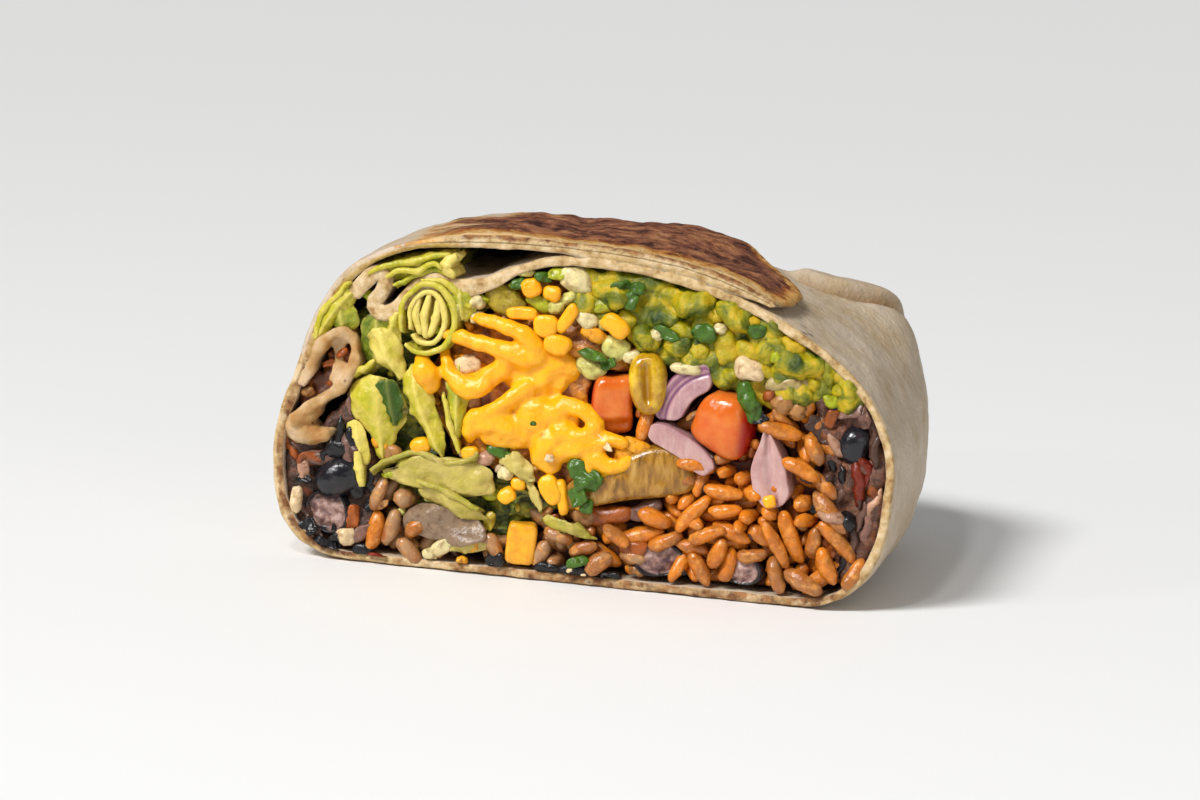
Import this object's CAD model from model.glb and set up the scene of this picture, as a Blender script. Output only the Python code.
import math

import bmesh
import bpy
import numpy as np
from mathutils import Euler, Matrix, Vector, noise
from mathutils.bvhtree import BVHTree


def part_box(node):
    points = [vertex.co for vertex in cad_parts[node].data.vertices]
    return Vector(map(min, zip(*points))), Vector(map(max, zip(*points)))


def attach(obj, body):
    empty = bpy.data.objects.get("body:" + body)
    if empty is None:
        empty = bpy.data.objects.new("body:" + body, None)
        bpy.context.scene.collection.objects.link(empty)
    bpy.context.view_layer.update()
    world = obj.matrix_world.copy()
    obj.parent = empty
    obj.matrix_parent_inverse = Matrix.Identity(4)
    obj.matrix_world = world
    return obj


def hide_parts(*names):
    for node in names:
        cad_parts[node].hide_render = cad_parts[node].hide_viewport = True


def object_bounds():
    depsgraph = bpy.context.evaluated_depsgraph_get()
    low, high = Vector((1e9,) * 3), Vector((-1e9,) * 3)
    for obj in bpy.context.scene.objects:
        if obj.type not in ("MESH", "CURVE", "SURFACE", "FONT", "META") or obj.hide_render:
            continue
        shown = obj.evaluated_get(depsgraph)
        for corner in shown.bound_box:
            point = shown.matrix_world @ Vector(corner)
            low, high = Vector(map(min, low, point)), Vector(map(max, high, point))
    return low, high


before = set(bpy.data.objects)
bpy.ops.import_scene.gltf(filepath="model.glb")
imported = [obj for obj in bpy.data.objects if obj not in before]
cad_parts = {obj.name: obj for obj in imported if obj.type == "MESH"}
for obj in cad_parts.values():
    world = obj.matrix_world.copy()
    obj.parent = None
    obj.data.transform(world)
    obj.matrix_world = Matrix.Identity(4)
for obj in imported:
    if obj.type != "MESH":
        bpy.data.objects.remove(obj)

bl_info = {"name": "Burrito Half", "version": (1, 0, 0), "blender": (4, 5, 0),
    "location": "View3D > Sidebar > Burrito",
    "description": "Dresses the solids of half a grilled burrito with its tortilla, fillings and rice",
    "category": "Object"}

CAD_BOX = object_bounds()
MM = 0.001
CUT_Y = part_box("tortilla")[0].y  # the plane of the cut, m
SIDE_SHIFT = 0.152  # mm from the middle of the roll's box to its section's own zero

# the roll in mm, as the solids have it: x across the cut, depth behind it, z up
ROLL_LENGTH = 88.0
CUT_HALF_WIDTH = 57.0
CUT_HEIGHT = 61.5
SWELL = 0.035
END_TAPER, END_TAPER_POWER, TAPER_IN_HEIGHT = 0.16, 4, 1.5
END_LIFT, LIFT_STARTS = 8.0, 0.74
END_ROUNDING, END_CURL, CURL_STARTS = 0.07, 0.12, 0.86
EAR_CENTRE, EAR_RADIUS, EAR_PLACE, EAR_SPREAD, EAR_PUSH = (46.0, 44.0), 13.0, 0.7, 0.2, (3.0, 5.5)
TORTILLA_LINE = ((35.8, 52.6), (25, 56.8), (13.6, 59.4), (0, 60.5), (-14, 60.6), (-28, 59.6),
    (-37.6, 56.8), (-44.9, 51.6), (-49.6, 43.1), (-52.5, 33.8), (-55.2, 25.5), (-55.8, 18), (-54.6, 10),
    (-51.2, 4.4), (-45, 1.4), (-36, 1), (-24, 1), (-12, 1), (0, 1), (12, 1), (24, 1), (36, 1),
    (45.5, 1.6), (51.6, 5.6), (55, 12.5), (56, 20.5), (55.6, 29), (51.7, 37.4), (45.4, 43.8), (37.2, 49),
    (26.3, 54), (13.8, 57.2), (2, 58.4), (-6.5, 57.9), (-13, 55.8), (-18.5, 52.9), (-23.4, 51.9),
    (-27.2, 52.6), (-30.4, 51.8), (-32.8, 49.4), (-35, 46.9), (-37.4, 46), (-39, 47.6), (-37.6, 50),
    (-37, 52.2), (-38.8, 53.2), (-41, 51.4), (-43.4, 48.4))
TUCK_LINES = (  # the arch from the left wall over its top and down to the lobe, and the limb inside it
    ((-51.6, 31.6), (-50.2, 35.2), (-48.2, 39.4), (-45.2, 42), (-42.6, 40.6), (-41.9, 36.6), (-43.6, 32.6),
     (-46.8, 30), (-50.4, 27.4), (-53, 24.8)),
    ((-44.9, 41.2), (-45.4, 38), (-45, 35), (-45.8, 32.8)),
)


# ---------------------------------------------------------------- shapes


def in_roll(points):
    """Points of the section in mm (x, depth, z), carried into the roll, in metres."""
    x, depth, z = np.moveaxis(np.asarray(points, float), -1, 0)
    share = depth / ROLL_LENGTH
    inside = np.maximum(share, 0)  # nothing is narrowed in front of the cut
    swell = SWELL * np.sin(np.pi * np.clip(share, 0, 1))
    curl = np.maximum(0, (share - CURL_STARTS) / (1 - CURL_STARTS)) ** 3
    taper = END_TAPER * inside**END_TAPER_POWER + END_CURL * curl
    lift = END_LIFT * np.maximum(0, (share - LIFT_STARTS) / (1 - LIFT_STARTS)) ** 2
    from_ear = np.hypot(x - EAR_CENTRE[0], z - EAR_CENTRE[1]) / EAR_RADIUS
    ear = np.exp(-(from_ear**2) - ((share - EAR_PLACE) / EAR_SPREAD) ** 2)
    radius = (x / CUT_HALF_WIDTH) ** 2 + ((2 * z - CUT_HEIGHT) / CUT_HEIGHT) ** 2
    across = x * (1 + swell - taper) + EAR_PUSH[0] * ear - SIDE_SHIFT
    back = depth * (1 - END_ROUNDING * radius * inside**3)
    up = z * (1 + 0.5 * swell - TAPER_IN_HEIGHT * taper) + lift + EAR_PUSH[1] * ear
    return np.stack([across * MM, back * MM + CUT_Y, np.maximum(up, 0) * MM], axis=-1)


def spline(points, per):
    """A smooth line through the points, with `per` steps between each two."""
    p = np.asarray(points, float)
    p = np.concatenate([2 * p[:1] - p[1:2], p, 2 * p[-1:] - p[-2:-1]])
    t = np.linspace(0, 1, per, endpoint=False)[:, None]
    parts = [
        0.5 * (2 * b + (c - a) * t + (2 * a - 5 * b + 4 * c - d) * t**2 + (3 * b - a - 3 * c + d) * t**3)
        for a, b, c, d in zip(p, p[1:], p[2:], p[3:])]
    return np.concatenate([*parts, p[-2:-1]])


def even(line, step):
    """The same line with its points about `step` apart, and how far along it each one is."""
    length = np.concatenate([[0], np.cumsum(np.linalg.norm(np.diff(line, axis=0), axis=1))])
    at = np.linspace(0, length[-1], max(2, int(round(length[-1] / step)) + 1))
    return np.stack([np.interp(at, length, column) for column in line.T], axis=1), at


def left_of(line):
    """The unit normal on the left of a flat line at each of its points."""
    along = np.gradient(line, axis=0)
    along /= np.linalg.norm(along, axis=1, keepdims=True)
    return np.stack([-along[:, 1], along[:, 0]], axis=1)


def ripple(points, size, seed=0, octaves=2):
    """Smooth noise of about -1 to 1 at each point, with lumps of about `size`, in the points' own unit."""
    flat = np.asarray(points, float).reshape(-1, 3) / size + np.array([7.3, 3.1, 5.7]) * seed
    values = [noise.fractal(Vector(p), 1, 2, octaves) for p in flat]
    return np.array(values).reshape(np.shape(points)[:-1])


def ease(value, start, end):
    """0 before start, 1 after end, smooth between."""
    t = np.clip((np.asarray(value, float) - start) / (end - start), 0, 1)
    return t * t * (3 - 2 * t)


def grid_faces(rows, columns, first=0, wrap=False):
    """The quads of a grid of rows by columns whose points follow each other row by row."""
    r, c = np.meshgrid(np.arange(rows - 1), np.arange(columns if wrap else columns - 1), indexing="ij")
    a = first + r * columns + c
    b = first + r * columns + (c + 1) % columns
    return np.stack([a, b, b + columns, a + columns], axis=-1).reshape(-1, 4).tolist()


def tube_faces(rings, columns):
    """The quads of a tube of rings, with one face over each end."""
    ends = [list(range(columns))[::-1], [(rings - 1) * columns + k for k in range(columns)]]
    return grid_faces(rings, columns, wrap=True) + ends


def new_piece(name, points, faces, finish, merge=0.0, outward=True, **marks):
    """An object at the origin from points in metres. `marks` are numbers kept at each point."""
    mesh = bpy.data.meshes.new(name)
    mesh.from_pydata(np.asarray(points, float).reshape(-1, 3).tolist(), [], faces)
    for mark, values in marks.items():
        vector = np.ndim(values) == 2 and np.shape(values)[1] == 3 and len(values) == len(mesh.vertices)
        kept = mesh.attributes.new(mark, "FLOAT_VECTOR" if vector else "FLOAT", "POINT")
        kept.data.foreach_set("vector" if vector else "value", np.asarray(values, np.float32).ravel())
    if merge or outward:
        bm = bmesh.new()
        bm.from_mesh(mesh)
        if merge:
            bmesh.ops.remove_doubles(bm, verts=bm.verts, dist=merge)
        if outward:
            bmesh.ops.recalc_face_normals(bm, faces=bm.faces)
        bm.to_mesh(mesh)
        bm.free()
    mesh.shade_smooth()
    mesh.materials.append(finish)
    piece = bpy.data.objects.new(name, mesh)
    bpy.context.scene.collection.objects.link(piece)
    return piece


def with_modifiers(piece, *modifiers):
    """Adds modifiers, given as (type, settings), and makes their result the piece's own mesh."""
    for kind, settings in modifiers:
        modifier = piece.modifiers.new(kind.title(), kind)
        for key, value in settings.items():
            setattr(modifier, key, value)
    shown = piece.evaluated_get(bpy.context.evaluated_depsgraph_get())
    mesh = bpy.data.meshes.new_from_object(shown)
    piece.modifiers.clear()
    old, piece.data = piece.data, mesh
    bpy.data.meshes.remove(old)
    mesh.shade_smooth()
    return piece


def fused(piece, voxel, smooth=4, triangles=0):
    """The piece's overlapping bodies as one skin, smoothed."""
    steps = [("REMESH", {"mode": "VOXEL", "voxel_size": voxel * MM, "use_smooth_shade": True})]
    if smooth:
        steps.append(("SMOOTH", {"factor": 0.5, "iterations": smooth}))
    with_modifiers(piece, *steps)
    if triangles and len(piece.data.polygons) * 2 > triangles:
        share = triangles / (len(piece.data.polygons) * 2)
        with_modifiers(piece, ("DECIMATE", {"ratio": share}))
    return piece


def read(piece, what):
    """The piece's points ("co", in metres) or its normals ("normal"), as an array."""
    flat = np.empty(len(piece.data.vertices) * 3, np.float32)
    piece.data.vertices.foreach_get(what, flat)
    return flat.reshape(-1, 3).astype(float)


def move_points(piece, points):
    piece.data.vertices.foreach_set("co", np.asarray(points, np.float32).ravel())
    piece.data.update()


def roughen(piece, far, size, seed, octaves=2):
    """Swells and sinks the piece's skin by up to `far` mm."""
    p = read(piece, "co") / MM
    move = far * ripple(p, size, seed, octaves)
    move_points(piece, (p + read(piece, "normal") * move[:, None]) * MM)


def dressed(piece, finish):
    """The piece with one finish, in place of what it had."""
    piece.data.materials.clear()
    piece.data.materials.append(finish)
    return piece


def settle(piece, slot, *nodes):
    """The piece rides on the burrito's one body, takes a slot's finish, and stands for the named solids."""
    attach(piece, "root")
    if nodes:
        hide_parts(*nodes)


def chunk(piece, finish, slot, node):
    """A chunk with its skin smoothed once and its finish on, in the place of its solid."""
    with_modifiers(piece, ("SUBSURF", {"levels": 1, "render_levels": 1}))
    settle(dressed(piece, finish), slot, node)


def rounded_block(size, power=5.0, cuts=12):
    """Points in mm and faces of a block with soft corners, round (2) to sharp (10 and more)."""
    steps = np.linspace(-1, 1, cuts + 1)
    points, faces = [], []
    for axis in range(3):
        for side in (-1, 1):
            a, b = np.meshgrid(steps, steps, indexing="ij")
            p = np.empty(a.shape + (3,))
            p[..., axis], p[..., (axis + 1) % 3], p[..., (axis + 2) % 3] = side, a, b
            faces += grid_faces(cuts + 1, cuts + 1, first=len(points) * (cuts + 1) ** 2)
            points.append(p.reshape(-1, 3))
    p = np.concatenate(points)
    p = np.tan(p * math.pi / 4)
    p /= (np.abs(p) ** power).sum(axis=1, keepdims=True) ** (1 / power)
    return p * np.asarray(size, float) / 2, faces


def placed(points, place, roll=0.0, yaw=0.0):
    """A chunk's own points in mm, turned in degrees and put at (x, depth, z) of the section, in metres."""
    turn = np.array(Euler((0, math.radians(-roll), math.radians(yaw))).to_matrix())
    return in_roll(np.asarray(points) @ turn.T + np.asarray(place, float))


def tube(line, radii, sides=10):
    """Points in mm and faces of a closed tube along a line of (x, depth, z) with its radius at each point."""
    line, radii = np.asarray(line, float), np.asarray(radii, float)
    along = np.gradient(line, axis=0)
    along /= np.linalg.norm(along, axis=1, keepdims=True)
    side = np.cross(along, np.array([0.3, -1, 0.2]))
    side /= np.linalg.norm(side, axis=1, keepdims=True)
    over = np.cross(along, side)
    turn = np.linspace(0, 2 * np.pi, sides, endpoint=False)
    ends = []
    for end, sign in ((0, -1), (-1, 1)):
        for lean in (75, 45, 20) if end == 0 else (20, 45, 75):
            reach = math.radians(lean)
            ends.append((line[end] + sign * along[end] * radii[end] * math.sin(reach),
                radii[end] * math.cos(reach), end))
    rings = ends[:3] + [(p, r, i) for i, (p, r) in enumerate(zip(line, radii))] + ends[3:]
    points = [p + r * (np.cos(turn)[:, None] * side[i] + np.sin(turn)[:, None] * over[i])
        for p, r, i in rings]
    return np.concatenate(points), tube_faces(len(rings), sides)


def joined(bodies):
    """Several (points, faces) as one."""
    points, faces, first = [], [], 0
    for p, f in bodies:
        points.append(np.asarray(p).reshape(-1, 3))
        faces += [[first + i for i in face] for face in f]
        first += len(points[-1])
    return np.concatenate(points), faces


def merged_copy(node, name):
    """A copy of a solid's mesh with its loose triangles joined, as an object."""
    copy = bpy.data.objects.new(name, bpy.data.objects[node].data.copy())
    copy.data.name = name
    bpy.context.scene.collection.objects.link(copy)
    bm = bmesh.new()
    bm.from_mesh(copy.data)
    bmesh.ops.remove_doubles(bm, verts=bm.verts, dist=1e-6)
    bm.to_mesh(copy.data)
    bm.free()
    copy.data.materials.clear()
    return copy


# ---------------------------------------------------------------- finishes


class Finish:
    """One material, built node by node on the piece's Object coordinates (metres)."""

    def __init__(self, name, roughness=0.5, **fixed):
        self.material = bpy.data.materials.new(name)
        self.material.use_nodes = True
        self.tree = self.material.node_tree
        self.shader = self.tree.nodes["Principled BSDF"]
        self.set("Roughness", roughness)
        for socket, value in fixed.items():
            self.set(socket.replace("_", " "), value)
        self.place = self.node("ShaderNodeTexCoord").outputs["Object"]

    def node(self, kind, **settings):
        made = self.tree.nodes.new(kind)
        for key, value in settings.items():
            setattr(made, key, value)
        return made

    def feed(self, socket, value):
        """Links another node's output, or sets a number or a colour."""
        if isinstance(value, bpy.types.NodeSocket):
            self.tree.links.new(value, socket)
        else:
            socket.default_value = (*value, 1) if socket.type == "RGBA" else value

    def set(self, socket, value):
        self.feed(self.shader.inputs[socket], value)

    def scaled(self, by):
        """The place stretched along the axes, for streaks."""
        made = self.node("ShaderNodeMapping")
        self.tree.links.new(self.place, made.inputs["Vector"])
        made.inputs["Scale"].default_value = by
        return made.outputs["Vector"]

    def noise(self, size, detail=3.0, rough=0.55, warp=0.0, place=None):
        """Noise of 0 to 1 with lumps of about `size` mm."""
        made = self.node("ShaderNodeTexNoise")
        self.tree.links.new(place or self.place, made.inputs["Vector"])
        for socket, value in (("Scale", 1 / (size * MM)), ("Detail", detail), ("Roughness", rough)):
            made.inputs[socket].default_value = value
        made.inputs["Distortion"].default_value = warp
        return made.outputs["Fac"]

    def cells(self, size, feature="F1", place=None):
        made = self.node("ShaderNodeTexVoronoi", feature=feature)
        self.tree.links.new(place or self.place, made.inputs["Vector"])
        made.inputs["Scale"].default_value = 1 / (size * MM)
        return made.outputs["Distance"]

    def mark(self, name, output="Fac"):
        return self.node("ShaderNodeAttribute", attribute_name=name).outputs[output]

    def span(self, value, low, high, to_low=0.0, to_high=1.0):
        """The value between low and high, carried to another span and held inside it."""
        made = self.node("ShaderNodeMapRange")
        self.feed(made.inputs["Value"], value)
        for socket, number in (("From Min", low), ("From Max", high), ("To Min", to_low),
            ("To Max", to_high)):
            made.inputs[socket].default_value = number
        return made.outputs["Result"]

    def sum(self, kind, a, b):
        made = self.node("ShaderNodeMath", operation=kind)
        self.feed(made.inputs[0], a)
        self.feed(made.inputs[1], b)
        return made.outputs[0]

    def add(self, a, b):
        return self.sum("ADD", a, b)

    def times(self, a, b):
        return self.sum("MULTIPLY", a, b)

    def swing(self, by, *size):
        """Noise about 0, reaching half of `by` to each side."""
        centred = self.sum("SUBTRACT", self.noise(*size), 0.5)
        return centred if by == 1 else self.times(centred, by)

    def mix(self, share, a, b, how="MIX"):
        made = self.node("ShaderNodeMix", data_type="RGBA", blend_type=how)
        self.feed(made.inputs[0], share)
        self.feed(made.inputs[6], a)
        self.feed(made.inputs[7], b)
        return made.outputs[2]

    def ramp(self, value, *stops):
        """Colours at places from 0 to 1 along a value."""
        made = self.node("ShaderNodeValToRGB")
        self.feed(made.inputs["Fac"], value)
        while len(made.color_ramp.elements) < len(stops):
            made.color_ramp.elements.new(0.5)
        for element, (at, _) in zip(made.color_ramp.elements, stops):
            element.position = at
        for element, (_, colour) in zip(made.color_ramp.elements, stops):
            element.color = (*colour, 1)
        return made.outputs["Color"]

    def bump(self, height, depth, strength=1.0):
        """Relief of about `depth` mm."""
        made = self.node("ShaderNodeBump")
        self.feed(made.inputs["Height"], height)
        made.inputs["Distance"].default_value = depth * MM
        made.inputs["Strength"].default_value = strength
        before = self.shader.inputs["Normal"].links
        if before:
            self.tree.links.new(before[0].from_socket, made.inputs["Normal"])
        self.set("Normal", made.outputs["Normal"])

    def colour(self, value):
        self.set("Base Color", value)


def juicy(name, roughness, depth=(2, 1, 0.5), weight=0.25, scale=0.0012, **fixed):
    """A finish for wet, slightly see-through food."""
    made = Finish(name, roughness, **fixed)
    made.set("Subsurface Weight", weight)
    made.set("Subsurface Radius", depth)
    made.set("Subsurface Scale", scale)
    return made


def mottled(name, roughness, depth, weight, size, relief, *stops):
    """A soft finish: colours along one noise of a size in mm, with relief (size, detail, height in mm)."""
    f = juicy(name, roughness, depth, weight)
    f.colour(f.ramp(f.noise(size, 4), *stops))
    f.bump(f.noise(*relief[:2]), relief[2])
    return f.material


def shell(top, bottom):
    """A closed skin between two grids of points, rows by columns, in the same unit."""
    rows, columns = top.shape[:2]
    count = rows * columns
    faces = grid_faces(rows, columns) + [f[::-1] for f in grid_faces(rows, columns, first=count)]
    rim = [c for c in range(columns)] + [r * columns + columns - 1 for r in range(1, rows)]
    rim += [(rows - 1) * columns + c for c in range(columns - 2, -1, -1)]
    rim += [r * columns for r in range(rows - 2, 0, -1)]
    for a, b in zip(rim, rim[1:] + rim[:1]):
        faces.append([a, a + count, b + count, b])
    return np.concatenate([top.reshape(-1, 3), bottom.reshape(-1, 3)]), faces


def leaf(rows, thickness=0.6, ruffle=0.5, size=4.0, seed=0, per=6, ribs=4, veins=0.25, tips=0.7):
    """A thin leaf over rows of (x, depth, z) points. Returns points, faces and how much each is rib."""
    along = np.array([spline(row, per) for row in rows])
    grid = np.array([spline(along[:, c], per) for c in range(along.shape[1])]).swapaxes(0, 1)
    r, c = np.meshgrid(np.linspace(0, 1, grid.shape[0]), np.linspace(0, 1, grid.shape[1]), indexing="ij")
    centre = grid[:, [grid.shape[1] // 2]]
    grid = centre + (grid - centre) * (1 - tips * np.abs(2 * r - 1) ** 5)[..., None]
    down, across = np.gradient(grid, axis=0), np.gradient(grid, axis=1)
    down /= np.maximum(np.linalg.norm(down, axis=2, keepdims=True), 1e-9)
    across /= np.maximum(np.linalg.norm(across, axis=2, keepdims=True), 1e-9)
    normal = np.cross(down, across)
    normal /= np.maximum(np.linalg.norm(normal, axis=2, keepdims=True), 1e-9)
    middle = np.exp(-(((c - 0.5) / 0.07) ** 2))
    side = np.exp(-((np.sin(np.pi * ribs * (r + 0.55 * np.abs(c - 0.5))) / 0.28) ** 2)) * veins
    rib = np.clip(middle * (0.4 + veins) + side, 0, 1)
    rim = np.abs(2 * c - 1)
    waves = ripple(grid, size, seed) + 0.5 * ripple(grid, size * 0.42, seed + 60)
    lift = ruffle * waves * (0.4 + 1.3 * rim)
    scallop = 0.55 * ripple(grid, 2.4, seed + 50)
    grid = grid + normal * (lift + 0.25 * rib)[..., None] + across * (scallop * rim ** 6)[..., None]
    grid = grid + down * (scallop * np.abs(2 * r - 1) ** 6 * min(tips * 2, 1))[..., None]
    half = normal * (thickness * 0.5 * (1 + 0.9 * rib - 0.45 * rim ** 4))[..., None]
    points, faces = shell(grid + half, grid - half)
    rib = np.clip(rib + 0.45 * np.maximum(rim, np.abs(2 * r - 1) * (tips > 0)) ** 14, 0, 1)
    return points, faces, np.concatenate([rib.ravel(), rib.ravel()])


def strip(line, depths, lean, thickness, ruffle, seed):
    """A leaf seen by its cut edge: a line of (x, z) carried back through the depths, leaning as it goes."""
    first, last = depths[0], depths[-1]
    rows = []
    for depth in depths:
        share = (depth - first) / (last - first)
        rows.append([(x + lean[0] * share, depth, z + lean[1] * share) for x, z in line])
    return leaf(rows, thickness, ruffle, 4.0, seed, ribs=6, veins=0.0, tips=0.0)


def facing_out(points, faces):
    """The faces of one closed body of quads, turned over where they face inwards."""
    a, b, c, d = points[np.array(faces)].swapaxes(0, 1)
    volume = np.sum(a * np.cross(b, c)) + np.sum(a * np.cross(c, d))
    return faces if volume > 0 else [face[::-1] for face in faces]


def leaves(name, parts, finish):
    """Leaves, each given with its greenness from 0, white, to 1, dark green, as one piece."""
    bodies = [(points, facing_out(in_roll(points), faces)) for (points, faces, rib), green in parts]
    points, faces = joined(bodies)
    rib = np.concatenate([rib for (p, f, rib), green in parts])
    green = np.concatenate([np.full(len(p), green) for (p, f, rib), green in parts])
    return new_piece(name, in_roll(points), faces, finish, outward=False, rib=rib, green=green)


class CutFace:
    """What a straight look at the cut meets first, on a grid over the section in mm."""

    STEP = 0.5

    def __init__(self):
        points, faces, owner = [], [], []
        for name, node in sorted(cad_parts.items()):
            first = len(points)
            points += [v.co.copy() for v in node.data.vertices]
            faces += [[first + i for i in p.vertices] for p in node.data.polygons]
            owner += [name] * len(node.data.polygons)
        tree = BVHTree.FromPolygons(points, faces)
        self.x = np.arange(-59, 59, self.STEP)
        self.z = np.arange(0, 63, self.STEP)
        self.name = np.full((len(self.z), len(self.x)), "", dtype=object)
        for r, z in enumerate(self.z):
            for c, x in enumerate(self.x):
                hit = tree.ray_cast(Vector(((x - SIDE_SHIFT) * MM, -0.1, z * MM)), Vector((0, 1, 0)))
                if hit[0] is not None and hit[0].y < CUT_Y + 8 * MM:
                    self.name[r, c] = owner[hit[2]]

    def room(self, *names, most=8.0):
        """How far each place of the grid is inside the named solids, in mm, 0 outside them."""
        left = np.isin(self.name, names)
        deep = np.zeros(left.shape)
        for _ in range(int(most / self.STEP)):
            deep += left * self.STEP
            near = left.copy()
            near[1:] &= left[:-1]
            near[:-1] &= left[1:]
            near[:, 1:] &= left[:, :-1]
            near[:, :-1] &= left[:, 1:]
            left = near
        return deep

    def at(self, field, x, z):
        c = np.clip(((np.asarray(x) - self.x[0]) / self.STEP).round().astype(int), 0, len(self.x) - 1)
        r = np.clip(((np.asarray(z) - self.z[0]) / self.STEP).round().astype(int), 0, len(self.z) - 1)
        return field[r, c]


CUT = CutFace()


def scatter(field, spacing, seed, least=0.5, tries=4000):
    """Places (x, z) where the field is at least `least`, no two nearer than the spacing, in mm."""
    chance = np.random.default_rng(seed)
    kept = np.empty((0, 2))
    for x, z in chance.uniform((-58, 0), (58, 62), (tries, 2)):
        if CUT.at(field, x, z) < least:
            continue
        if len(kept) and np.min(np.hypot(*(kept - (x, z)).T)) < spacing:
            continue
        kept = np.vstack([kept, (x, z)])
    return kept


def pebble(place, size, seed, turn=0.0, dent=0.18, cuts=5, power=2.6):
    """A lump in mm of about the given size (across, deep, high), uneven, turned in the cut by degrees."""
    points, faces = rounded_block(size, power, cuts)
    points = points * (1 + dent * ripple(points, max(size) * 0.5, seed))[:, None]
    c, s = math.cos(math.radians(turn)), math.sin(math.radians(turn))
    x, y, z = points.T
    return np.stack([x * c - z * s, y, x * s + z * c], axis=1) + np.asarray(place, float), faces


def flake(place, size, seed, turn=0.0, lean=20.0):
    """A thin uneven scrap in mm, such as chopped leaf or bean skin: size is (across, high, thick)."""
    across, high, thick = size
    points, faces = rounded_block((across, thick, high), 3.0, 7)
    points[:, 1] += 0.22 * max(across, high) * ripple(points * (1, 0, 1), max(across, high) * 0.5, seed)
    points[:, 0] *= 1 + 0.25 * ripple(points * (0, 0, 1), high * 0.4, seed + 1)
    points[:, 2] *= 1 + 0.25 * ripple(points * (1, 0, 0), across * 0.4, seed + 2)
    turned = Euler([math.radians(angle) for angle in (lean, -turn, lean * 0.6)])
    return points @ np.array(turned.to_matrix()).T + np.asarray(place, float), faces


def shred(place, size, width, seed, turn=0.0):
    """A drawn-out scrap in mm, bent and thinning to its ends."""
    t = np.linspace(-0.5, 0.5, 7)
    bend = np.stack([0 * t, t + 0.3 * seed, 0 * t], axis=1)
    side, back = 0.3 * size * ripple(bend, 0.5, seed), 0.12 * size * ripple(bend, 0.5, seed + 7)
    c, s = math.cos(math.radians(turn)), math.sin(math.radians(turn))
    line = np.stack([t * size * c - side * s, back, t * size * s + side * c], axis=1)
    line = line + np.asarray(place, float)
    radii = width / 2 * (1 - (2 * np.abs(t)) ** 3 * 0.7) * (1 + 0.3 * ripple(bend, 0.25, seed + 3))
    return tube(line, np.maximum(radii, 0.2), 7)


def bits(name, bodies):
    """Small bodies, each (points in mm, faces, colour), as one piece in which each keeps its colour."""
    points, faces = joined([(p, f) for p, f, colour in bodies])
    colours = np.concatenate([np.tile(colour, (len(p), 1)) for p, f, colour in bodies])
    f = juicy(name.replace("_", " "), 0.27, (1, 0.6, 0.3), 0.2, 0.001, Specular_IOR_Level=0.4)
    own = f.mark("own_colour", "Color")
    darker = f.mix(1.0, own, (0.5, 0.38, 0.3), "MULTIPLY")
    lighter = f.mix(1.0, own, (1.5, 1.45, 1.3), "MULTIPLY")
    f.colour(f.mix(f.span(f.noise(1.8, 4), 0.54, 0.74, 0, 0.7),
        f.mix(f.span(f.noise(1.3, 3), 0.5, 0.3, 0, 0.9), own, darker), lighter))
    f.bump(f.noise(1, 3), 0.25)
    return new_piece(name, in_roll(points), faces, f.material, merge=0.000005, own_colour=colours)


# ---------------------------------------------------------------- settings


def length(name, default, description):
    return bpy.props.FloatProperty(name=name, description=description, default=default * MM, min=0,
        unit="LENGTH", subtype="DISTANCE")


def share(name, default, description):
    return bpy.props.FloatProperty(name=name, description=description, default=default, min=0, max=1,
        subtype="FACTOR")


def count(name, default, description):
    return bpy.props.IntProperty(name=name, description=description, default=default, min=0)


def shade(name, default, description):
    return bpy.props.FloatVectorProperty(name=name, description=description, default=default, size=3,
        min=0, max=1, subtype="COLOR")


class TortillaSettings(bpy.types.PropertyGroup):
    """The wrap."""

    thickness: length("Thickness", 2.0, "Thickness of one layer of tortilla")
    unevenness: length("Unevenness", 0.35, "How far the outer side swells and sinks")
    flour: shade("Flour", (0.58, 0.47, 0.35), "Pale outer side")
    speckle: shade("Speckle", (0.46, 0.33, 0.17), "Light browning on the pale side")
    edge: shade("Cut edge", (0.54, 0.37, 0.17), "Bread of the cut edge")
    crust: shade("Crust", (0.27, 0.1, 0.048), "Griddled top")
    char: shade("Char", (0.06, 0.022, 0.014), "Darkest griddled patches")
    gold: shade("Golden rim", (0.62, 0.34, 0.1), "Rim between the crust and the cut edge")


class FillingSettings(bpy.types.PropertyGroup):
    """The soft layers."""

    guacamole: shade("Guacamole", (0.085, 0.115, 0.003), "Green of the mashed avocado")
    guacamole_ripe: shade("Ripe avocado", (0.42, 0.34, 0.006), "Yellow lumps in the guacamole")
    mash: shade("Bean mash", (0.055, 0.028, 0.018), "Mashed black beans")
    mash_red: shade("Reddish mash", (0.3, 0.07, 0.016), "Tomato and spice in the mash")
    sauce: shade("Bean sauce", (0.11, 0.026, 0.006), "Sauce in the fold")
    cheese: shade("Cheese", (0.92, 0.38, 0.003), "Melted cheddar")
    leaf: shade("Lettuce leaf", (0.48, 0.42, 0.014), "Yellow-green of the leaves")
    leaf_pale: shade("Lettuce rib", (0.76, 0.61, 0.16), "Ribs and inner leaves")
    leaf_dark: shade("Dark lettuce", (0.035, 0.085, 0.005), "Outer leaves")


class RiceSettings(bpy.types.PropertyGroup):
    """The rice."""

    grains: count("Grains", 230, "Grains in the face of the cut")
    grain_length: length("Grain length", 8.8, "Length of a long cooked grain")
    grain_width: length("Grain width", 3.0, "Width of a cooked grain")
    unevenness: length("Unevenness", 1.1, "How far a grain's skin wanders")
    orange: shade("Orange rice", (0.66, 0.2, 0.012), "Grains coloured by tomato")
    tan: shade("Tan rice", (0.34, 0.12, 0.024), "Grains of middling colour")
    pale: shade("Pale rice", (0.4, 0.23, 0.11), "Grains with little colour")


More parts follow.
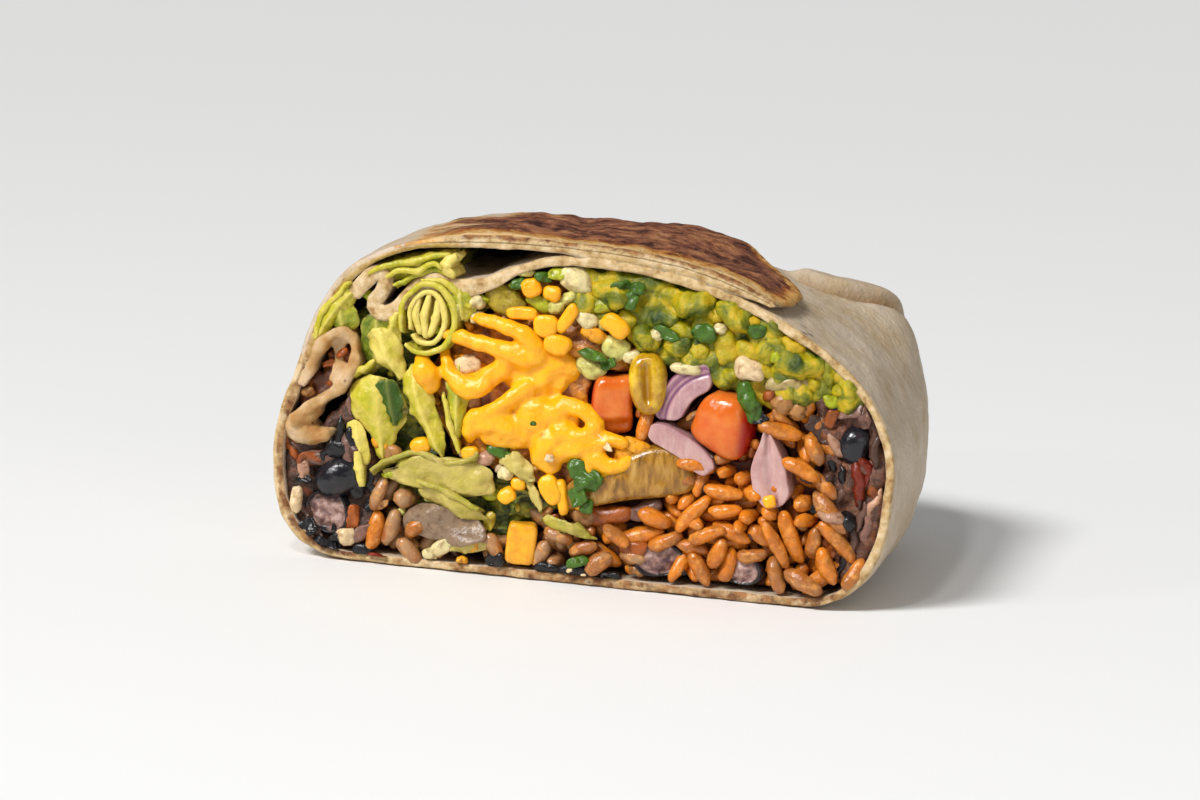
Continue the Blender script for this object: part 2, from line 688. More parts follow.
class ChunkSettings(bpy.types.PropertyGroup):
    """The separate chunks."""

    tomato: shade("Tomato", (0.6, 0.1, 0.004), "Flesh of the tomato")
    tomato_skin: shade("Tomato skin", (0.4, 0.012, 0.004), "Skin of the tomato")
    corn: shade("Corn", (0.38, 0.17, 0.002), "Corn kernel")
    onion: shade("Onion", (0.5, 0.3, 0.29), "Flesh of red onion")
    onion_skin: shade("Onion skin", (0.16, 0.035, 0.12), "Purple skin of the onion")
    pepper: shade("Pickled pepper", (0.36, 0.17, 0.014), "Pickled pepper")
    bean: shade("Bean skin", (0.01, 0.01, 0.013), "Skin of a black bean")
    bean_inside: shade("Bean inside", (0.26, 0.14, 0.11), "Mealy inside of a cut bean")
    herb: shade("Cilantro", (0.06, 0.21, 0.04), "Chopped cilantro")


class StageSettings(bpy.types.PropertyGroup):
    """Floor, lights and camera."""

    floor: shade("Floor", (0.86, 0.86, 0.855), "Pale floor")
    lens: bpy.props.FloatProperty(name="Lens", description="Focal length", default=98.0,
        subtype="DISTANCE_CAMERA")
    distance: length("Distance", 600.0, "From the camera to the middle of the burrito")
    azimuth: bpy.props.FloatProperty(name="Azimuth", description="Camera's turn to the right of the cut",
        default=math.radians(11), subtype="ANGLE")
    elevation: bpy.props.FloatProperty(name="Elevation", description="Camera's height angle",
        default=math.radians(9), subtype="ANGLE")
    lean: bpy.props.FloatProperty(name="Lean", description="Camera's roll about its own line of sight",
        default=math.radians(3.6), subtype="ANGLE")


class BurritoSettings(bpy.types.PropertyGroup):
    """Everything a user may change."""

    tortilla: bpy.props.PointerProperty(type=TortillaSettings)
    filling: bpy.props.PointerProperty(type=FillingSettings)
    rice: bpy.props.PointerProperty(type=RiceSettings)
    chunk: bpy.props.PointerProperty(type=ChunkSettings)
    stage: bpy.props.PointerProperty(type=StageSettings)


# ---------------------------------------------------------------- the tortilla


def tortilla_finish(s):
    f = Finish("Tortilla", 0.5, Specular_IOR_Level=0.2, Subsurface_Weight=0.06, Subsurface_Scale=0.001)
    pale = f.mix(f.span(f.noise(9, 5), 0.42, 0.66, 0, 0.7), s.flour, s.speckle)
    pale = f.mix(f.span(f.noise(2.4, 4), 0.5, 0.75, 0, 0.6), pale, tuple(min(1, c * 1.15) for c in s.flour))
    spots = f.span(f.cells(6.5, place=f.scaled((1, 0.7, 1))), 0.16, 0.05, 0, 0.5)
    pale = f.mix(f.times(spots, f.span(f.noise(16, 2), 0.5, 0.62)), pale, (0.4, 0.22, 0.09))
    streaks = f.noise(2.8, 6, 0.66, 0.3, place=f.scaled((0.8, 0.8, 1)))
    blotches = f.swing(1, 10, 4, 0.6, 0.3)
    fine = f.swing(1, 0.9, 3, 0.6)
    streaks = f.add(streaks, f.add(f.times(blotches, 0.7), f.times(fine, 0.25)))
    crust = f.ramp(streaks, (0.36, s.char), (0.44, (0.15, 0.055, 0.034)), (0.53, s.crust),
        (0.64, (0.4, 0.17, 0.08)), (0.78, (0.54, 0.28, 0.13)))
    redder = f.ramp(streaks, (0.36, (0.12, 0.032, 0.012)), (0.52, (0.34, 0.1, 0.018)), (0.74, s.gold))
    crust = f.mix(f.span(f.add(f.mark("rim"), blotches), 0.05, 0.45), crust, redder)
    pores = f.span(f.cells(1.7), 0.22, 0.08, 0, 0.8)
    crust = f.mix(f.times(pores, f.span(f.noise(6, 3), 0.42, 0.58)), crust, s.char)
    patch = f.span(f.add(f.mark("toast"), f.times(f.noise(6, 6, 0.65), 0.9)), 0.7, 1.22)
    amber = f.mix(f.span(f.noise(3, 4), 0.4, 0.7), (0.66, 0.42, 0.19), (0.5, 0.22, 0.06))
    colour = f.mix(f.span(patch, 0, 0.5), pale, amber)
    colour = f.mix(f.span(patch, 0.35, 0.95), colour, crust)
    frayed = f.add(f.mark("rim"), f.swing(1.9, 2.6, 6, 0.7, 0.6))
    colour = f.mix(f.span(frayed, 0.46, 0.62, 0, 0.9), colour, (0.52, 0.24, 0.055))
    colour = f.mix(f.span(frayed, 0.62, 0.76), colour, s.gold)
    colour = f.mix(f.span(frayed, 0.8, 0.96), colour, (0.68, 0.45, 0.21))
    colour = f.mix(f.mark("stain"), colour, (0.27, 0.15, 0.05))
    colour = f.mix(f.mark("speck"), colour, (0.04, 0.025, 0.02))
    bread = f.ramp(f.noise(1.9, 5, 0.62), (0.3, (0.3, 0.16, 0.05)), (0.46, s.edge),
        (0.66, (0.7, 0.54, 0.33)))
    patchy = f.swing(2.2, 2.8, 5, 0.65)
    stained = f.ramp(f.noise(1.5, 4), (0.35, (0.12, 0.045, 0.02)), (0.6, (0.33, 0.15, 0.05)))
    bread = f.mix(f.span(f.add(f.mark("browned"), patchy), 0.3, 0.8), bread, stained)
    bread = f.mix(f.span(f.add(f.mark("soaked"), f.noise(2.6, 4)), 0.95, 1.25, 0, 0.8), bread,
        (0.4, 0.26, 0.05))
    f.colour(f.mix(f.span(f.mark("cut"), 0.25, 0.75), colour, bread))
    f.bump(f.noise(1.1, 5, 0.65), 0.35)
    f.bump(f.noise(5, 3), 0.7)
    f.bump(f.times(streaks, patch), 1.0, 0.8)
    return f.material


def wrap_line(step):
    """The line of the wrap in the section: its points, how far along each one is, the sheet's thickness
    there as a share, and how far along it meets its own outer end."""
    line = spline(TORTILLA_LINE, 14)
    line[:, 1] = np.maximum(line[:, 1], 1.0)
    line, at = even(line, step)
    late = np.arange(len(at)) > len(at) // 2
    turn_end = at[np.argmin(np.hypot(*(line - (36.4, 49.3)).T) + 1e3 * ~late)]
    covered = ease(at, turn_end - 8, turn_end) * (1 - ease(line[:, 0] * late, -4, -12))
    flat = np.stack([line[:, 0], 0 * at, line[:, 1]], 1)
    share = (0.78 + 0.16 * covered + 0.78 * ease(at, at[-1] - 46, at[-1] - 34)
        + 0.26 * (1 - ease(at, 52, 66)))
    share *= 1 + 0.22 * ripple(flat, 9.0, 31) + 0.14 * ripple(flat, 2.6, 32)
    share *= 1 - 0.3 * (1 - ease(at, 2, 13))
    return line, at, share, turn_end


def within_wrap(points, margin=0.0):
    """Section points in mm near the cut, held inside the middle of the wrap's wall, less a margin."""
    line, at, _, turn_end = wrap_line(0.6)
    first = at[np.argmax(line[:, 0] < -12)]
    last = at[np.argmax((at > turn_end) & (line[:, 0] < -12))]
    loop = line[(at >= first) & (at <= last)] - (0, 28)
    points = np.array(points, float).reshape(-1, 3)
    away = points[:, [0, 2]] - (0, 28)
    reach = np.interp(np.arctan2(away[:, 1], away[:, 0]), np.arctan2(loop[:, 1], loop[:, 0]),
        np.hypot(*loop.T), period=2 * np.pi)
    reach = reach - margin + 0.1 * np.clip(points[:, 1], 0, None)
    far = np.hypot(*away.T)
    points[:, [0, 2]] = (0, 28) + away * np.where((points[:, 1] < 14) & (far > reach),
        reach / np.maximum(far, 1), 1)[:, None]
    return points


# charred dots beside the flap's end: x, how deep behind the cut, radius (mm), lowest height
WRAP_SPECKS = ((38.6, 1.6, 0.5, 40), (39.4, 3.4, 0.6, 40), (40.6, 2.2, 0.4, 40), (38, 5, 0.5, 40),
    (39.8, 6.2, 0.4, 40), (41.2, 4.4, 0.3, 40))


def crease_depth(x):
    """How far behind the cut the folded end's crease crosses the shoulder, in mm."""
    return 44 + 0.055 * (x - 30) ** 2


# rows of points over the cut edge: place through the sheet, -1 outside to 1 inside, and depth (mm)
CUT_ROWS = ((-0.95, 0.45), (-0.82, 0.15), (-0.6, 0), (-0.2, 0), (0.2, 0), (0.6, 0), (0.86, 0.1))
INNER_DEPTHS = (0.3, 0.9, 2, 4, 8, 14, 22, 32, 44, 56, 68, 76, 82, 86)  # rows inside the wrap (mm)
END_PLEATS = ((0.4, 0.9), (2.2, 0.8), (3.9, 0.9), (5.4, 0.7))  # where round the end (radians), and height


def tortilla_shell(s):
    """The wrap as one sheet: round the filling, under itself, and closed over the back end."""
    half = s.thickness / MM / 2
    line, at, thick, turn_end = wrap_line(0.9)
    left = left_of(line)
    under = ease(at, turn_end + 24, turn_end + 31)
    outer_depths = np.concatenate([[0.9, 1.3, 1.8, 2.4, 3.2, 4.2], np.arange(5.4, 87, 1.1), [ROLL_LENGTH]])
    dome = np.linspace(0, 1, 20)[1:] ** 0.9
    # rows of points from the outside's middle of the end, along the wall, over the cut edge and back inside
    rows = [("end", -1, t) for t in dome[::-1]] + [("wall", -1, d) for d in outer_depths[::-1]]
    rows += [("cut", offset, d) for offset, d in CUT_ROWS]
    rows += [("wall", 1, d) for d in INNER_DEPTHS] + [("end", 1, t) for t in dome[2::3]]
    from_end = np.minimum(at, at[-1] - at) / half
    round_end = np.where(from_end < 1, np.sqrt(np.clip(1 - (1 - from_end) ** 2, 0.02, 1)), 1.0)
    overlap = ease(line[:, 0], -12, 2) * (1 - ease(line[:, 0], 26, 35)) * (at < 60)
    middle = np.array([0, CUT_HEIGHT / 2])
    points = []
    marks = {mark: [] for mark in ("toast", "rim", "cut", "stain", "browned", "speck", "soaked")}
    flat_line = np.stack([line[:, 0], np.zeros(len(line)), line[:, 1]], 1)
    ragged = ripple(flat_line, 6.0, 3) * 0.45 + 0.28 * ripple(flat_line, 1.8, 4)
    shoulder = ease(line[:, 0], 27, 31) * (1 - ease(line[:, 0], 44, 49)) * (line[:, 1] > 34) * (at > 60)
    for kind, offset, amount in rows:
        depth = np.full(len(line), ROLL_LENGTH if kind == "end" else float(amount))
        depth -= (0 if offset < 0 else 2.0) * (kind == "end") + 3.0 * under * (depth > 80)
        depth -= 0.8 * (1 - ease(at, 2, 20)) * (kind == "end")
        # the outer end draws back towards the middle as it goes deeper
        back = 2.2 * (1 - ease(depth, 0, 7)) + 9 * ease(depth, 15, 34) + 20 * ease(depth, 28, 64)
        slid = at + back * np.clip(1 - at / 62, 0, 1)
        here = np.stack([np.interp(slid, at, line[:, k]) for k in (0, 1)], axis=1)
        away = np.stack([np.interp(slid, at, left[:, k]) for k in (0, 1)], axis=1)
        across, up = here.T
        inwards = 1 + 0.9 * ease(-across, 38, 50) * (at < 150) * (offset > 0)
        flat = here + away * (offset * half * thick * inwards * round_end)[:, None]
        solid = np.stack([flat[:, 0], depth, flat[:, 1]], axis=1)
        behind = depth - crease_depth(across)
        fold = shoulder * (2.2 * ease(behind, 0, 3) * (1 - ease(behind, 8, 36))
            - np.exp(-((behind / 1.9) ** 2)))
        # the outer end lies flat on the layer under it
        fold = fold + 0.75 * (1 - ease(at, 2, 20)) * ease(depth, 18, 40) * (abs(offset) == 1)
        if abs(offset) == 1:
            swell = ripple(solid, 13.0, 5) * s.unevenness / MM + 0.16 * ripple(solid, 4.0, 8)
            swell += (at < 70) * (0.4 * ripple(solid * (1, 0.4, 1), 7, 19)
                + 0.75 * ripple(solid * (1, 0.5, 0), 15, 23))
            swell *= ease(depth, 0, 3) if offset > 0 else 1
            swell += 0.5 * ease(depth, 62, 80) * ripple(solid * (1, 0.25, 1), 6.0, 11) + fold
            if offset > 0:
                swell = 0.5 * swell - 0.55 * overlap
            flat = flat - away * swell[:, None]
        if kind == "end":
            reach = amount * (1 - 0.86 * ease(at, turn_end + 32, turn_end + 46))
            flat = middle + (flat - middle) * (1 - reach * 0.995)[:, None]
            angle = np.arctan2(flat[:, 1] - middle[1], flat[:, 0] - middle[0])
            pleat = sum(high * ease(np.sin(angle - turn), -0.1, 0.12) for turn, high in END_PLEATS)
            depth = depth + (pleat - 1.6) * np.sin(np.pi * min(amount * 1.15, 1)) * 0.8
        near = 1 - ease(depth, 0, 5)
        grain = 0.34 * ripple(solid, 1.2, 6) if kind == "cut" else 0
        points.append(np.stack([flat[:, 0], depth + ragged * near + grain, flat[:, 1]], axis=1))
        outer = offset < 0
        wander = 15 * ripple(solid * (0.9, 1, 0), 21.0, 14) + 6 * ripple(solid * (1, 1, 0), 6.0, 15)
        top = (at < 110) * ease(across + wander * ease(depth, 4, 20), -40, -20) * outer
        top = top * (1 - ease(depth + wander + 0.012 * (across - 6) ** 2, 46, 76))
        base = 0.5 * (up < 1.6) * (1 - ease(depth, 60, 80)) * outer
        marks["toast"].append(np.maximum(top, base))
        end_rim = (1 - ease(at, 1.5, 5)) * (depth < 40)
        fringe = np.maximum(1 - ease(depth, 0.4, 10), 0.7 * end_rim)
        marks["rim"].append(top * fringe + 0.3 * outer * near * (across < -25))
        skin_like = (across < -26) * (up > 26) * (at < 100) * outer
        marks["cut"].append((kind == "cut") * (1 - 0.75 * skin_like))
        in_crease = 0.7 * np.exp(-((behind / 1.6) ** 2))
        past_crease = 0.35 * np.exp(-(((behind - 4) / 5) ** 2)) * ease(across, 34, 44)
        marks["stain"].append(shoulder * outer * np.clip(in_crease + past_crease, 0, 1))
        dots = sum(np.exp(-(((across - x) ** 2 + (depth - d) ** 2) / size ** 2) ** 2) * (up > lowest)
            for x, d, size, lowest in WRAP_SPECKS)
        marks["speck"].append(np.clip(dots, 0, 1) * outer * (at > 80) * 0.85)
        on_top = 0.5 * ease(offset, -0.6, 1) * ease(up, 44, 50) * ease(across, -30, 0)
        at_left = 0.8 * ease(offset, -0.4, 0.5) * (across < -24) * (up > 30) * (at < 100)
        marks["soaked"].append(np.clip((on_top + at_left) * (kind == "cut"), 0, 1))
        low = 1 - ease(up, 1.2, 5)
        on_flap = 0.72 * (at < 100) * ease(-offset, -0.1, 0.9) * ease(across, -34, -20)
        at_left = (across < -40) * (1 - ease(up, 34, 44)) * (0.06 + 0.6 * ease(offset, -0.5, 0.4))
        at_right = 0.34 * (across > 40) * ease(offset, -0.4, 0.8)
        marks["browned"].append(np.clip(
            on_flap + at_left + 0.25 * low + 0.4 * low * ease(across, -26, -10) + at_right, 0, 1))
    points = np.array(points).swapaxes(0, 1)
    faces = tube_faces(*points.shape[:2])
    return in_roll(points), faces, {name: np.array(values).T for name, values in marks.items()}


class BURRITO_OT_tortilla(bpy.types.Operator):
    """Make the tortilla with its griddled top, cut edge and closed end"""

    bl_idname = "burrito.tortilla"
    bl_label = "Tortilla"

    def execute(self, context):
        s = context.scene.burrito.tortilla
        points, faces, marks = tortilla_shell(s)
        piece = new_piece("tortilla_wrap", points, faces, tortilla_finish(s), merge=0.00002, **marks)
        settle(piece, "tortilla", "tortilla")
        return {"FINISHED"}


def tuck_finish():
    f = Finish("Folded tortilla", 0.6, Specular_IOR_Level=0.25, Subsurface_Weight=0.08,
        Subsurface_Scale=0.001)
    colour = f.ramp(f.noise(4, 4), (0.32, (0.38, 0.17, 0.045)), (0.48, (0.5, 0.3, 0.12)),
        (0.7, (0.62, 0.45, 0.28)))
    f.colour(f.mix(f.span(f.cells(4.6), 0.1, 0.03, 0, 0.7), colour, (0.12, 0.05, 0.03)))
    f.bump(f.noise(1.1, 5, 0.65), 0.3)
    return f.material


class BURRITO_OT_tuck(bpy.types.Operator):
    """Make the folded-in side of the tortilla and its rounded lip"""

    bl_idname = "burrito.tuck"
    bl_label = "Folded side"

    def execute(self, context):
        bodies = []
        for k, course in enumerate(TUCK_LINES):
            line, at = even(spline(course, 10), 0.8)
            left = left_of(line)
            half = (0.75 + 0.45 * np.sin(at * 0.55 + 1.2 * k) ** 2
                + 0.35 * ease(at, at[-1] - 8, at[-1]) * (k == 0))
            sides = []
            for side in (1, -1):
                grid = []
                for depth in np.array([0, 0.4, 1, 2, 4, 8, 14, 22, 30]) + 1.2 * k:
                    flat = line + left * (side * half * (0.7 if depth < 0.3 else 1))[:, None]
                    back = depth + 0.8 * np.sin(at * 0.5) * (depth < 6)
                    grid.append(np.stack([flat[:, 0], np.maximum(back, -0.8) - 0.9, flat[:, 1]], axis=1))
                sides.append(np.array(grid))
            bodies.append(shell(*sides))
        bodies.append(pebble((-51.8, 3.2, 22.9), (10.2, 8.4, 5.2), 4, turn=-10, dent=0.22, cuts=10,
            power=2.4))
        bodies.append(pebble((-48.4, 2.8, 22.6), (6.4, 6, 3), 12, turn=16, dent=0.25, cuts=8))
        bodies.append(pebble((-50.6, 2.6, 25.8), (6, 7, 2.6), 9, turn=34, dent=0.2, cuts=8))
        points, faces = joined(bodies)
        points = within_wrap(points)
        piece = new_piece("tortilla_fold", in_roll(points), faces, tuck_finish())
        fused(piece, 0.42, 2)
        roughen(piece, 0.32, 2.4, 2, 3)
        settle(piece, "tortilla_tuck", "tortilla_tuck")
        return {"FINISHED"}


# ---------------------------------------------------------------- soft layers


def soft_layer(name, node, voxel, lumps=(), lump=1.2, size=4.0, seed=0, sink=0.0, shrink=0.0,
    triangles=90000):
    """A solid as soft food: fused with its lumps, uneven all over and most in the face of the cut."""
    piece = merged_copy(node, name)
    if len(lumps):
        points, faces = joined([([v.co / MM for v in piece.data.vertices],
            [list(p.vertices) for p in piece.data.polygons])] + [(in_roll(p) / MM, f) for p, f in lumps])
        bpy.data.objects.remove(piece)
        piece = new_piece(name, points * MM, faces, None)
    fused(piece, voxel, 3, triangles)
    p, n = read(piece, "co") / MM, read(piece, "normal")
    front = 1 - ease(p[:, 1] - CUT_Y / MM, 1.0, 9.0)
    p = p + n * (lump * front * ripple(p, size, seed, 3) - shrink)[:, None]
    p[:, 1] += sink * front
    shift = np.array([SIDE_SHIFT, -CUT_Y / MM, 0])
    p = within_wrap(p + shift) - shift
    p[:, 2] = np.maximum(p[:, 2], 0.3)
    move_points(piece, p * MM)
    return piece


def guacamole_finish(s, name="Guacamole", ripe=None):
    f = juicy(name, 0.2, (1, 1, 0.3), 0.15, Specular_IOR_Level=0.45)
    if ripe:
        ripeness = f.add(f.mark(ripe), f.swing(0.9, 2.2, 4))
    else:
        ripeness = f.span(f.noise(5, 5, 0.6, 0.8), 0.32, 0.66)
    f.colour(f.ramp(ripeness, (0.04, (0.018, 0.04, 0.003)), (0.26, s.guacamole),
        (0.52, (0.2, 0.2, 0.005)), (0.76, s.guacamole_ripe), (1, (0.58, 0.37, 0.008))))
    f.bump(f.noise(1.1, 5, 0.65), 0.5)
    return f.material


def mash_finish(s, name, red):
    f = juicy(name, 0.24, (1, 0.4, 0.3), 0.1, Specular_IOR_Level=0.45)
    colour = f.ramp(f.span(f.noise(3, 6, 0.65, 0.8), 0.28, 0.72), (0.1, (0.008, 0.006, 0.006)),
        (0.38, s.mash), (0.62, (0.12, 0.052, 0.032)), (0.8, (0.22, 0.075, 0.03)),
        (0.95, s.mash_red))
    f.colour(f.mix(red, colour, s.mash_red))
    f.bump(f.noise(1.3, 5, 0.65), 0.7)
    return f.material


# corn and firmer lumps of avocado in the guacamole: x, z, across, high (mm), turn (degrees), and
# green 0 to yellow 1
GUACAMOLE_LUMPS = ((22.9, 51, 3.8, 3, 0, 0.95), (28.8, 50.2, 5.4, 3, -12, 1),
    (25.2, 45.4, 4.2, 6.4, 14, 0.82), (29.6, 44.8, 5.6, 3.6, -22, 0.86), (37, 45.9, 4.6, 4.4, 0, 1),
    (43.9, 42.4, 2.8, 4.6, 8, 0.6), (46, 39.2, 2.8, 2.4, -20, 0.7), (33.4, 47, 3.8, 2.6, -24, 0.7),
    (20.6, 44, 3.4, 4.2, 20, 0.78), (17.2, 47.8, 5, 3.2, -16, 0.7), (32.4, 42, 4, 2.4, -30, 0.85),
    (41.2, 40.2, 3.2, 2.4, -34, 0.8), (11.4, 45.4, 4.8, 3.8, 30, 0.68), (6.6, 47.8, 4, 5.8, -30, 0.75),
    (26.6, 40.4, 3.2, 2.4, -8, 0.6))


class BURRITO_OT_guacamole(bpy.types.Operator):
    """Make the lumpy guacamole under the top of the wrap"""

    bl_idname = "burrito.guacamole"
    bl_label = "Guacamole"

    def execute(self, context):
        s = context.scene.burrito.filling
        chance = np.random.default_rng(12)
        room = CUT.room("guacamole")
        lumps = []
        for k, (x, z) in enumerate(scatter(room, 3.4, 5, least=1)):
            size = chance.uniform(3.0, 7.0)
            lumps.append(pebble((x, chance.uniform(1.2, 3.4), z),
                (size, size * 0.8, size * chance.uniform(0.5, 0.9)), k, turn=chance.uniform(-50, 20),
                dent=0.45, power=2.2))
        piece = soft_layer("guacamole_layer", "guacamole", 0.5, lumps, lump=1.1, size=3.0, seed=3,
            shrink=-0.7, triangles=140000)
        settle(dressed(piece, guacamole_finish(s)), "guacamole", "guacamole")
        bodies = [pebble((x, 1.5, z), (across, 3.4, high), k, turn, 0.3, 10, 2.4)
            for k, (x, z, across, high, turn, ripe) in enumerate(GUACAMOLE_LUMPS)]
        ripe = np.concatenate([np.full(len(p), lump[5]) for (p, f), lump in zip(bodies, GUACAMOLE_LUMPS)])
        points, faces = joined(bodies)
        points = within_wrap(points + 0.18 * np.stack([ripple(points, 1.3, 40 + k) for k in range(3)],
            axis=1))
        piece = new_piece("guacamole_lumps", in_roll(points), faces,
            guacamole_finish(s, "Avocado and corn", "ripe"), merge=0.000005, ripe=ripe)
        settle(piece, "guacamole")
        return {"FINISHED"}


class BURRITO_OT_beans(bpy.types.Operator):
    """Make the bean mash at both sides and the sauce in the fold"""

    bl_idname = "burrito.bean_mash"
    bl_label = "Bean mash"

    def execute(self, context):
        s = context.scene.burrito.filling
        for node, slot, seed, red in (("beans_left", "bean_mash_dark", 2, 0),
            ("beans_right", "bean_mash", 6, 0.12)):
            piece = soft_layer(node + "_mash", node, 0.6, lump=1.3, size=3.4, seed=seed, shrink=-0.5,
                triangles=60000)
            settle(dressed(piece, mash_finish(s, node.replace("_", " "), red)), slot, node)
        piece = soft_layer("fold_sauce", "bean_sauce", 0.5, lump=0.8, size=2.6, seed=4, sink=0.7,
            shrink=-0.5, triangles=30000)
        finish = mottled("Bean sauce", 0.35, (1, 0.4, 0.2), 0.15, 2.6, (1, 4, 0.4),
            (0.34, (0.07, 0.018, 0.008)), (0.5, s.sauce), (0.68, (0.36, 0.11, 0.025)))
        settle(dressed(piece, finish), "bean_sauce", "bean_sauce")
        return {"FINISHED"}


# ---------------------------------------------------------------- rice


# grains lying in the face of the cut: x, z (mm), turn (degrees), length, width (mm), paleness from 0 to 1;
# a turn of None is a grain seen end on
FRONT_GRAINS = ((39.7, 12.7, -66, 10.2, 3.6, 0.1), (36.3, 10.9, -59, 10, 2.7, 0.15),
    (40.4, 25, -24, 7.4, 3.1, 0.1), (36.6, 31.4, -12, 8.4, 3.3, 0.1), (41.8, 28.6, -62, 6, 3.4, 0.35),
    (41, 18.3, None, 6, 3.6, 0.1), (35, 16.1, None, 6, 3.2, 0), (31.4, 15.6, None, 6, 3, 0.15),
    (45.7, 17.5, -47, 9.4, 3.5, 0.4), (48.4, 12.6, -47, 9.8, 3.3, 0.3), (46.2, 8.4, -65, 7, 3.3, 0.1),
    (41.8, 4.6, -26, 7.8, 3.5, 0.45), (37.6, 4.2, -72, 7, 3.1, 0.4), (44.8, 4.6, 42, 9, 3.4, 0.05),
    (29, 12.6, -17, 7.6, 3.2, 0), (33.4, 11.6, -30, 5.4, 3, 0.2), (26.6, 19.2, -5, 7.2, 3, 0),
    (27.6, 16, 6, 6.2, 2.8, 0.05), (26.8, 22.4, None, 6, 2.7, 0), (29.9, 21.4, None, 6, 3.1, 0.05),
    (25.8, 25, None, 6, 3, 0.5), (32.6, 8.6, 10, 5.6, 2.8, 0.6), (28, 6.6, 78, 6.4, 3.2, 0.25),
    (43.6, 11.8, 84, 6.4, 3, 0.5), (14.7, 13.3, -20, 6.8, 3.3, 0.1), (11.9, 9.7, 15, 8.6, 3.4, 0.1),
    (21.8, 14.6, 50, 9, 3, 0), (23.9, 6.2, -60, 7, 3.1, 0.15), (26.6, 8.6, 68, 6, 3.2, 0.1),
    (17.6, 16.8, None, 6, 2.9, 0.15), (20.9, 20.6, None, 7, 4.2, 0.75), (21.5, 23.7, -10, 7, 3.1, 0.1),
    (17.4, 9.4, 30, 6.6, 3, 0.3), (8.2, 9.4, -35, 6, 3, 0.4), (21.6, 9.6, -8, 6.6, 3, 0.2),
    (24.6, 11.4, 24, 7, 3, 0.05), (43.8, 22, -36, 7.4, 3.2, 0.45), (50.2, 7.6, 62, 6.6, 3, 0.3),
    (36.8, 21.2, None, 6, 3, 0.1), (-32, 11.4, None, 6.5, 4.2, 0.95), (-29.2, 6.9, 35, 5, 3.2, 0.5),
    (-29.6, 3.9, -45, 6, 3.3, 0.8), (-24.3, 3, None, 6, 3, 0.8), (-41, 4.6, None, 6, 3.6, 0.55),
    (-36.9, 6.6, 82, 7.6, 3.2, 0.2), (-33.4, 7.6, 75, 7, 3.3, 0.9), (-5.2, 5.6, 60, 5.4, 3.2, 0.75),
    (-3.8, 3, None, 6, 3, 0.7), (-2.4, 7.6, -15, 5.6, 3, 0.7), (1.6, 7.2, 20, 5.4, 3.1, 0.65),
    (5.2, 4, 40, 5.6, 4, 0.6), (11, 6.6, -10, 5, 3, 0.85), (-14.4, 5.4, -60, 5.6, 3.1, 0.7),
    (-36.2, 12.4, 70, 6.6, 2.6, 0.95))


# how the grains push each other apart, each through three beads: one in its middle, two near its ends
PACKING_STEPS = 80
BEAD_REACH = 0.34  # from a grain's middle to its outer beads, as a share of its length
BEAD_GAP = 0.47  # how near two beads come, as a share of both widths
PUSH_SHARE, MOST_PUSH = 0.28, 0.6  # of the overlap taken back in one step, and the most of that (mm)
PLACED_GIVE = 0.08  # how far the grains of FRONT_GRAINS give way, as a share
RICE_DEPTHS = (2.2, 9)  # how deep the loose grains lie behind the cut (mm)
RICE_MARGIN = 1.6  # a loose grain's ends keep this far inside the rice (mm)


